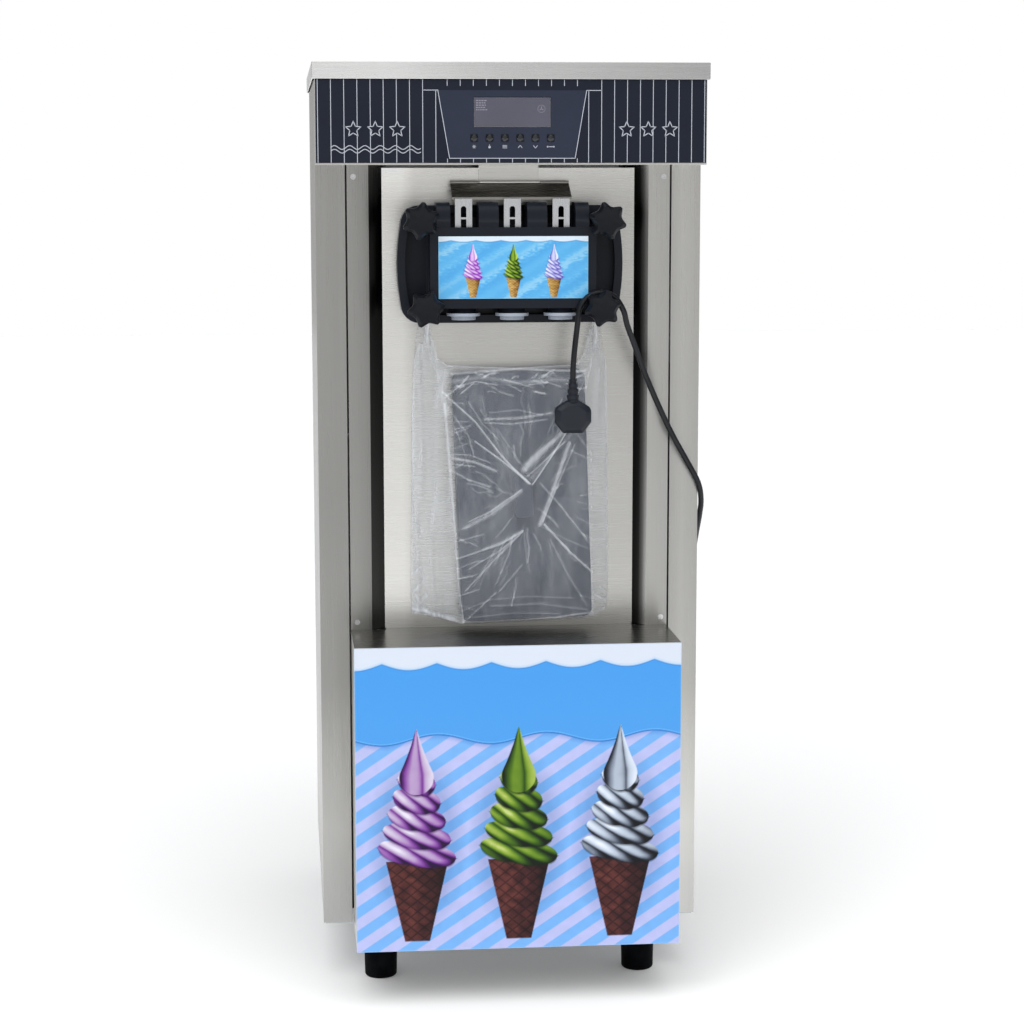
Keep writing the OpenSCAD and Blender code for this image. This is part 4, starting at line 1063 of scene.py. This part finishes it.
for node in ("left_side_panel", "right_side_panel"):
    dress(node, M["steel_side"])
dress("rear_panel", M["steel_v"])
for node in ("hopper_left", "hopper_right", "freezing_cylinder_left", "freezing_cylinder_right"):
    dress(node, M["steel_fine"])
for node, m in {
    "base_tray": "galvanised", "corner_posts": "galvanised", "mid_shelf": "galvanised", "display_window": "lcd",
    "control_board": "board", "cylinder_insulation": "foam", "beater_left": "white_part", "beater_right": "white_part",
    "drive_gear_left": "brass", "drive_gear_right": "brass", "pinion_shaft": "brass", "gearbox_case": "housing",
    "gearbox_pulley": "housing", "drive_belt": "belt", "motor_pulley": "housing", "drive_motor": "motor",
    "compressor": "compressor", "condenser": "fins", "fan_motor": "fan", "fan_blade": "fan", "head_studs": "bright",
    "head_seals": "seal", "micro_switches": "button",
}.items():
    dress(node, M[m])


# ---------------------------------------------------------------- clear bag

def film_material():
    """Thin clear film: nearly open where flat, glossy, and white where it is folded, the white a painted highlight."""
    s = Shader("clear_film", 0.20, 0.0, (0.80, 0.83, 0.88))
    s.set("IOR", 1.45)
    fold_highlight = s.node("ShaderNodeAttribute", attribute_name="fold_highlight")
    fine = s.noise(95.0, 5.0, (1, 1, 0.22), 0.6)
    wisp = s.noise(26.0, 5.0, (1.5, 1, 0.4), 0.6)
    ridge = s.ranged(fine, 0.0, 0.16, 0.52, 0.72)
    haze = s.ranged(wisp, 0.0, 0.10, 0.42, 0.72)
    m1 = s.node("ShaderNodeMath", operation="MULTIPLY")
    s.link(ridge, m1.inputs[0])
    s.link(s.ranged(fold_highlight.outputs["Fac"], 0.35, 1.5, 0.0, 0.7), m1.inputs[1])
    m2 = s.node("ShaderNodeMath", operation="ADD")
    s.link(m1.outputs[0], m2.inputs[0])
    s.link(haze, m2.inputs[1])
    # Painted highlight: the film's opacity, and so its white, rises where the bag marks its folds.
    m3 = s.node("ShaderNodeMath", operation="MULTIPLY_ADD")
    s.link(fold_highlight.outputs["Fac"], m3.inputs[0])
    m3.inputs[1].default_value = 0.62
    s.link(m2.outputs[0], m3.inputs[2])
    m4 = s.node("ShaderNodeMath", operation="ADD")
    m4.use_clamp = True
    s.link(m3.outputs[0], m4.inputs[0])
    m4.inputs[1].default_value = 0.10
    s.to(m4.outputs[0], "Alpha")
    s.to(s.ranged(fine, 0.14, 0.30), "Roughness")
    s.bump(fine, 0.14, 0.0010)
    return s.mat


M["film"] = film_material()

COVER = (17.0, 703.0)
TILT = math.radians(2)
# Crease lines (points, width, strength): each raises the film and adds a painted highlight along it.
CREASES = [
    ([(-95, 850), (-51, 810), (-13, 760), (24, 722)], 1.8, 0.8), ([(-51, 782), (-13, 754), (26, 722)], 1.5, 0.9),
    ([(29, 721), (55, 757), (79, 795)], 1.6, 1.0), ([(17, 742), (46, 769), (72, 793)], 6.0,
                                        0.7), ([(22, 733), (50, 757), (76, 780)], 1.8, 0.5),
    ([(28, 730), (60, 765), (84, 790)], 3.5, 0.35), ([(20, 750), (40, 768), (60, 782)], 4.0, 0.4),
    ([(40, 664), (58, 710), (82, 778)], 4.2, 0.85), ([(44, 668), (64, 716), (90, 776)], 1.5,
                                        0.5), ([(13, 712), (-28, 680), (-65, 659)], 4.0, 0.5),
    ([(13, 714), (-28, 684), (-60, 668)], 1.4, 0.5), ([(15, 654), (-19, 634), (-77, 615)], 1.8,
                                        0.6), ([(15, 654), (-25, 612), (-65, 569)], 1.8, 0.5),
    ([(15, 656), (-10, 640), (-40, 628)], 2.6, 0.4), ([(12, 650), (-20, 624), (-60, 600)], 1.2, 0.45),
    ([(46, 664), (83, 623), (116, 593)], 2.4, 0.75), ([(40, 723), (70, 689), (114, 632)], 1.8,
                                        0.45), ([(44, 660), (80, 640), (112, 626)], 1.2, 0.35),
    ([(15, 606), (-16, 569)], 1.6, 0.35), ([(-68, 523), (-22, 566)], 1.8,
                                        0.4), ([(-28, 547), (40, 549), (108, 539)], 2.0, 0.3),
    ([(55, 642), (83, 586), (108, 545)], 2.0, 0.3), ([(-86, 877), (9, 883), (107, 879)], 2.0, 0.8),
    ([(-84, 866), (-40, 872), (10, 864), (60, 868), (104, 866)], 4.0,
     0.4), ([(-80, 858), (-50, 866), (-20, 861)], 1.3, 0.6),
    ([(-10, 868), (20, 860), (50, 864), (70, 858)], 1.4, 0.55), ([(-90, 846), (-70, 862), (-60, 874)], 1.8,
                                        0.7), ([(-70, 850), (-52, 864)], 1.4, 0.6),
    ([(-37, 813), (9, 814), (58, 821)], 2.6, 0.55), ([(-37, 808), (0, 806), (50, 812)], 1.6,
                                        0.5), ([(-30, 822), (10, 826), (44, 818)], 1.3, 0.35),
    ([(-93, 834), (-83, 706), (-74, 566), (-68, 523)], 2.2, 0.8), ([(-139, 539), (-68, 520)], 4.0, 0.6),
    ([(-83, 758), (-52, 753), (-22, 740)], 2.6, 0.7), ([(-83, 740), (-59, 727), (-31, 718)], 1.8,
                                        0.5), ([(-83, 764), (-60, 763), (-30, 752)], 1.2, 0.5),
    ([(113, 808), (116, 538)], 1.8, 0.4), ([(-68, 520), (21, 524), (115, 535)], 2.0,
                                        0.6), ([(-92, 880), (-96, 850), (-90, 820)], 6.0, 0.5),
    ([(-80, 560), (-45, 571)], 1.4, 0.5), ([(-76, 586), (-50, 592)], 1.4, 0.4), ([(-74, 640), (-40, 650)], 1.4,
                                        0.4), ([(-78, 600), (-52, 610), (-40, 612)], 1.2, 0.4),
    ([(116, 640), (98, 650)], 1.4, 0.4), ([(90, 795), (116, 760)], 1.4, 0.5), ([(84, 768), (116, 752)], 1.4,
                                        0.4), ([(-88, 828), (-60, 790), (-52, 760)], 1.3, 0.45),
    ([(-84, 812), (-70, 780), (-60, 745)], 1.0, 0.4), ([(-60, 838), (-40, 806), (-20, 786)], 1.2,
                                        0.4), ([(-20, 800), (0, 770), (20, 740)], 1.2, 0.3),
    ([(0, 745), (14, 735), (26, 722)], 1.2, 0.5), ([(-70, 540), (-30, 556), (20, 560), (90, 556)], 1.2,
                                        0.3), ([(-60, 530), (0, 536), (70, 534)], 1.2, 0.35),
]
# White marks along the film's sides: painted highlights only, no relief.
SIDE_MARKS = [
    ([(-139, 590), (-126, 600), (-122, 580), (-136, 566)], 3.0, 0.7), ([(-134, 560), (-128, 548), (-118, 560)],
                                        2.4, 0.8), ([(-140, 548), (-110, 532), (-80, 528)], 3.5, 0.6),
    ([(-130, 660), (-124, 652), (-128, 644)], 1.6, 0.8), ([(-130, 700), (-122, 700)], 1.4,
                                        0.8), ([(-140, 540), (-120, 536)], 2.4, 0.7),
    ([(120, 560), (138, 548), (142, 556), (128, 570)], 2.2, 0.6), ([(-118, 940), (-112, 905), (-100, 870)], 3.0,
                                        0.45), ([(-124, 950), (-122, 900), (-124, 860)], 1.6, 0.5),
    ([(126, 945), (112, 880), (104, 850)], 2.2, 0.5), ([(122, 950), (128, 900), (126, 860)], 1.6, 0.4),
]


def small_creases():
    rnd = random.Random(21)
    out = []
    for _ in range(46):
        a = rnd.uniform(0, 2 * math.pi)
        ex, ez = COVER[0] + 88 * max(-1, min(1, 1.5 * math.cos(a))), COVER[1] + 165 * max(-1,
                                        min(1, 1.4 * math.sin(a)))
        gx, gz = COVER[0] + 13 * math.cos(a), COVER[1] + 34 * math.sin(a)
        t0 = rnd.uniform(0.05, 0.62)
        t1 = min(1.0, t0 + rnd.uniform(0.18, 0.5))
        pts = []
        for k in range(4):
            t = t0 + (t1 - t0) * k / 3
            pts.append((gx + (ex - gx) * t + rnd.uniform(-3.5, 3.5), gz + (ez - gz) * t + rnd.uniform(-3.5, 3.5)))
        out.append((pts, rnd.uniform(0.9, 1.7), rnd.uniform(0.12, 0.42)))
    for _ in range(34):
        x, z = rnd.uniform(-88, 100), rnd.gauss(868, 11)
        dx, dz = rnd.uniform(5, 20), rnd.uniform(-9, 9)
        out.append(([(x, z), (x + dx * 0.5, z + dz * 0.5 + rnd.uniform(-3, 3)), (x + dx, z + dz)],
                    rnd.uniform(0.9, 2.2), rnd.uniform(0.25, 0.7)))
    for _ in range(16):
        z = rnd.uniform(530, 860)
        x = -86 + (860 - z) * 0.035 + rnd.uniform(-4, 6)
        out.append(([(x, z), (x + rnd.uniform(8, 26), z + rnd.uniform(-14, 10))], rnd.uniform(0.8, 1.5),
                    rnd.uniform(0.25, 0.55)))
    for _ in range(10):
        z = rnd.uniform(540, 840)
        out.append(([(116, z), (116 - rnd.uniform(8, 24), z + rnd.uniform(-10, 14))], rnd.uniform(0.8, 1.4),
                    rnd.uniform(0.2, 0.45)))
    return out


def lerp_table(v, table):
    return np.interp(v, [a for a, _ in table], [b for _, b in table])


def near_lines(X, Z, marks, gain, squeeze):
    total = np.zeros(X.shape)
    for pts, w, k in marks:
        best = np.full(X.shape, 1e9)
        for (x0, z0), (x1, z1) in zip(pts, pts[1:]):
            dx, dz = x1 - x0, z1 - z0
            t = np.clip(((X - x0) * dx + (Z - z0) * dz) / (dx * dx + dz * dz), 0, 1)
            best = np.minimum(best, np.hypot(X - x0 - t * dx, Z - z0 - t * dz))
        total = total + gain * k * np.exp(-(best / (w * squeeze)) ** 2)
    return total


def film_field(X, Z):
    """How far the film stands off the wall plane, and how white it is painted along its folds and pleats as
    highlights, over (x, z).
    """
    c, s = math.cos(TILT), math.sin(TILT)
    lx = (X - COVER[0]) * c + (Z - COVER[1]) * s
    lz = -(X - COVER[0]) * s + (Z - COVER[1]) * c
    out = np.hypot(np.maximum(np.abs(lx) - 94, 0), np.maximum(np.abs(lz) - 177, 0))
    gx, gz = np.maximum(np.abs(lx) - 14, 0), np.maximum(np.abs(lz) - 31, 0)
    far = np.hypot(gx / 62, gz / 110)
    tent = 11.0 * np.clip(1 - far, 0, 1) ** 1.35
    stand = 35.6 + tent
    ang = np.arctan2(lz, lx)
    stand = stand + 0.8 * np.sin(ang * 13 + 1.3 * np.sin(ang * 5)) * np.clip(far * 2, 0, 1) * np.exp(-out / 20)
    fade = np.clip(out / 34, 0, 1)
    pleat = np.sin(X / 3.6 + 1.1 * np.sin(Z / 75) + 0.7 * np.sin(Z / 31 + X / 9))
    drape = 6.0 + 3.4 * pleat + 1.0 * np.sin(X / 1.9 + Z / 70)
    stand = stand * (1 - fade ** 0.8) + drape * fade ** 0.8
    # Painted highlight: the draped film below the covers is whiter, most on its pleat crests.
    white = 0.05 * fade + 0.16 * np.clip(pleat, 0, 1) ** 2 * fade + 0.05 * np.clip(np.sin(X / 1.9 + Z / 70), 0,
                                        1) * fade
    # Creases raise the film and add painted highlights; the side marks add painted highlights only.
    marks = CREASES + small_creases()
    stand = stand + near_lines(X, Z, marks, 1.3, 1.0)
    white = white + near_lines(X, Z, marks, 0.62, 0.7) + near_lines(X, Z, SIDE_MARKS, 0.6, 0.9)
    return stand, white


def bag():
    nu, nt = ((230, 310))
    U, T = np.meshgrid(np.linspace(0, 1, nu), np.linspace(0, 1, nt))
    top = lerp_table(U, [(0, 958), (0.045, 954), (0.085, 925), (0.12, 898), (0.17, 888), (0.5, 884), (0.83, 888),
                         (0.88, 900), (0.915, 926), (0.955, 954), (1, 958)])
    Z = 516 + (top - 516) * T
    left = lerp_table(Z, [(514, -139), (560, -141), (700, -139), (800, -138), (880, -135.5), (930, -131),
                          (958, -127)])
    right = lerp_table(Z, [(514, 139), (560, 143), (700, 142), (880, 139), (930, 132), (958, 127)])
    X = left + (right - left) * U
    low = np.clip((Z - 516) / 30, 0, 1)
    slack = lerp_table(X, [(-141, 22), (-100, 10), (-68, 0), (115, 8), (128, 20), (143, 30)])
    Z = Z + slack * (1 - low) ** 2 * 0.8
    stand, white = film_field(X, Z)
    rnd = np.random.RandomState(3)
    bumps = np.zeros_like(X)
    for _ in range(26):
        a, f = rnd.uniform(0, math.pi), rnd.uniform(0.05, 0.22)
        bumps += np.sin((X * math.cos(a) + Z * math.sin(a)) * f + rnd.uniform(0, 6.3)) * 0.12 / f * 0.16
    stand = stand + np.clip(bumps, -1.4, 1.6)
    up = np.clip((Z - 890) / 55, 0, 1)
    gather = 27 + 5 * np.sin(X / 2.1)
    stand = stand * (1 - up) + gather * up
    # Painted highlight on the gathered pleats at the top.
    white = white + up * (0.16 + 0.22 * np.clip(np.sin(X / 1.1), 0, 1))
    edge_side = np.minimum(U, 1 - U) * 284
    closed = np.clip(np.minimum(edge_side / 14, T * 380 / 5), 0, 1) ** 0.6
    stand = 2.4 + (stand - 2.4) * closed
    rim = np.minimum(edge_side, T * 380)
    # Painted highlight along the bag's sides, bottom and top edge.
    white = white + 0.35 * np.exp(-(rim / 2.2) ** 2) + 0.4 * np.exp(-((1 - T) * 380 / 1.6) ** 2)
    front = np.stack([X, -204.2 - stand, Z], -1)
    back_gap = 1.2 + 0.5 * np.sin(X / 9) * np.sin(Z / 21) + 22 * up
    back = np.stack([X, -204.2 - np.minimum(back_gap, stand), Z], -1)
    n = nu * nt
    verts = np.concatenate([front.reshape(-1, 3), back.reshape(-1, 3)])
    faces = []
    for j in range(nt - 1):
        for i in range(nu - 1):
            a = j * nu + i
            faces.append((a, a + 1, a + nu + 1, a + nu))
            faces.append((n + a, n + a + nu, n + a + nu + 1, n + a + 1))
        for i in (0, nu - 1):
            a = j * nu + i
            q = (a, a + nu, n + a + nu, n + a)
            faces.append(q if i == 0 else q[::-1])
    for i in range(nu - 1):
        faces.append((i, n + i, n + i + 1, i + 1))
    ob = mesh_object("film_bag", verts.tolist(), faces, M["film"], True, "root", ["accessory_bag"])
    # The front layer carries the whiteness, painted highlights along creases, pleats, edges and the gathered top; the
    # back layer none.
    fold_highlight = ob.data.attributes.new("fold_highlight", "FLOAT", "POINT")
    w = np.concatenate([white.ravel(), 0 * white.ravel()])
    fold_highlight.data.foreach_set("value", np.clip(w, 0, 1.2).astype(np.float32))
    return ob


film = bag()


# ---------------------------------------------------------------- floor and light

def floor():
    me = bpy.data.meshes.new("floor")
    r = 14.0
    me.from_pydata([(-r, -r, 0), (r, -r, 0), (r, r, 0), (-r, r, 0)], [], [(0, 1, 2, 3)])
    ob = bpy.data.objects.new("floor", me)
    scene.collection.objects.link(ob)
    s = Shader("floor_white", 0.95, 0.0, (0.92, 0.92, 0.92))
    s.set("Specular IOR Level", 0.0)
    s.set("Emission Color", (1, 1, 1, 1))
    s.set("Emission Strength", 0.09)
    me.materials.append(s.mat)


floor()


def studio():
    """A white tent that lights everything softly, with grey and black cards that only reflections see."""
    world = bpy.data.worlds.new("studio")
    scene.world = world
    world.use_nodes = True
    nt = world.node_tree
    nt.nodes.clear()

    def node(kind, **k):
        n = nt.nodes.new(kind)
        for a, v in k.items():
            setattr(n, a, v)
        return n
    out = node("ShaderNodeOutputWorld")
    white, cards = node("ShaderNodeBackground"), node("ShaderNodeBackground")
    soft = node("ShaderNodeBackground")
    white.inputs[0].default_value = (1, 1, 1, 1)
    soft.inputs[0].default_value = (0.97, 0.985, 1.0, 1)
    soft.inputs[1].default_value = 0.53
    coord, split = node("ShaderNodeTexCoord"), node("ShaderNodeSeparateXYZ")
    nt.links.new(coord.outputs["Generated"], split.inputs[0])
    flip = node("ShaderNodeMath", operation="MULTIPLY")
    flip.inputs[1].default_value = -1.0
    nt.links.new(split.outputs["Y"], flip.inputs[0])
    azimuth = node("ShaderNodeMath", operation="ARCTAN2")
    nt.links.new(split.outputs["X"], azimuth.inputs[0])
    nt.links.new(flip.outputs[0], azimuth.inputs[1])
    turn = node("ShaderNodeMapRange")
    turn.inputs["From Min"].default_value = -math.pi
    turn.inputs["From Max"].default_value = math.pi
    nt.links.new(azimuth.outputs[0], turn.inputs["Value"])
    ramp_node = node("ShaderNodeValToRGB")
    els = ramp_node.color_ramp.elements
    # Azimuth from the front (degrees, to the right) against brightness
    table = [(-180, 0.50), (-120, 0.50), (-88, 0.34), (-74, 0.04), (-46, 0.03), (-34, 0.30), (-26, 0.60),
             (0, 0.62), (20, 0.60),
             (32, 0.44), (44, 0.03), (76, 0.02), (90, 0.34), (120, 0.50), (180, 0.50)]
    els[0].position, els[0].color = 0.0, (table[0][1],) * 3 + (1,)
    els[1].position, els[1].color = 1.0, (table[-1][1],) * 3 + (1,)
    for a, v in table[1:-1]:
        e = els.new((a + 180) / 360)
        e.color = (v, v, v, 1)
    nt.links.new(turn.outputs["Result"], ramp_node.inputs["Fac"])
    nt.links.new(ramp_node.outputs["Color"], cards.inputs[0])
    ray = node("ShaderNodeLightPath")
    first, second = node("ShaderNodeMixShader"), node("ShaderNodeMixShader")
    nt.links.new(ray.outputs["Is Glossy Ray"], first.inputs[0])
    nt.links.new(soft.outputs[0], first.inputs[1])
    nt.links.new(cards.outputs[0], first.inputs[2])
    nt.links.new(ray.outputs["Is Camera Ray"], second.inputs[0])
    nt.links.new(first.outputs[0], second.inputs[1])
    nt.links.new(white.outputs[0], second.inputs[2])
    nt.links.new(second.outputs[0], out.inputs[0])


studio()


def lamp(name, where, aim, size, power, gloss=True):
    data = bpy.data.lights.new(name, "AREA")
    data.shape = "RECTANGLE"
    data.size, data.size_y = size
    data.energy = power
    ob = bpy.data.objects.new(name, data)
    ob.location = where
    ob.rotation_euler = (Vector(aim) - Vector(where)).to_track_quat("-Z", "Y").to_euler()
    ob.visible_glossy = gloss
    scene.collection.objects.link(ob)


lamp("key", (-1.5, -2.4, 3.1), (0, 0, 0.8), (1.3, 1.3), 14)
lamp("top", (0.3, -0.9, 3.7), (0, 0, 0), (2.6, 2.2), 14)
sun = bpy.data.lights.new("front_wash", "SUN")
sun.energy = 1.95
sun.angle = math.radians(75)
wash = bpy.data.objects.new("front_wash", sun)
wash.rotation_euler = Vector((0.10, 0.60, -0.80)).to_track_quat("-Z", "Y").to_euler()
wash.visible_glossy = False
scene.collection.objects.link(wash)
scene.view_settings.view_transform = "Standard"
scene.view_settings.look = "None"
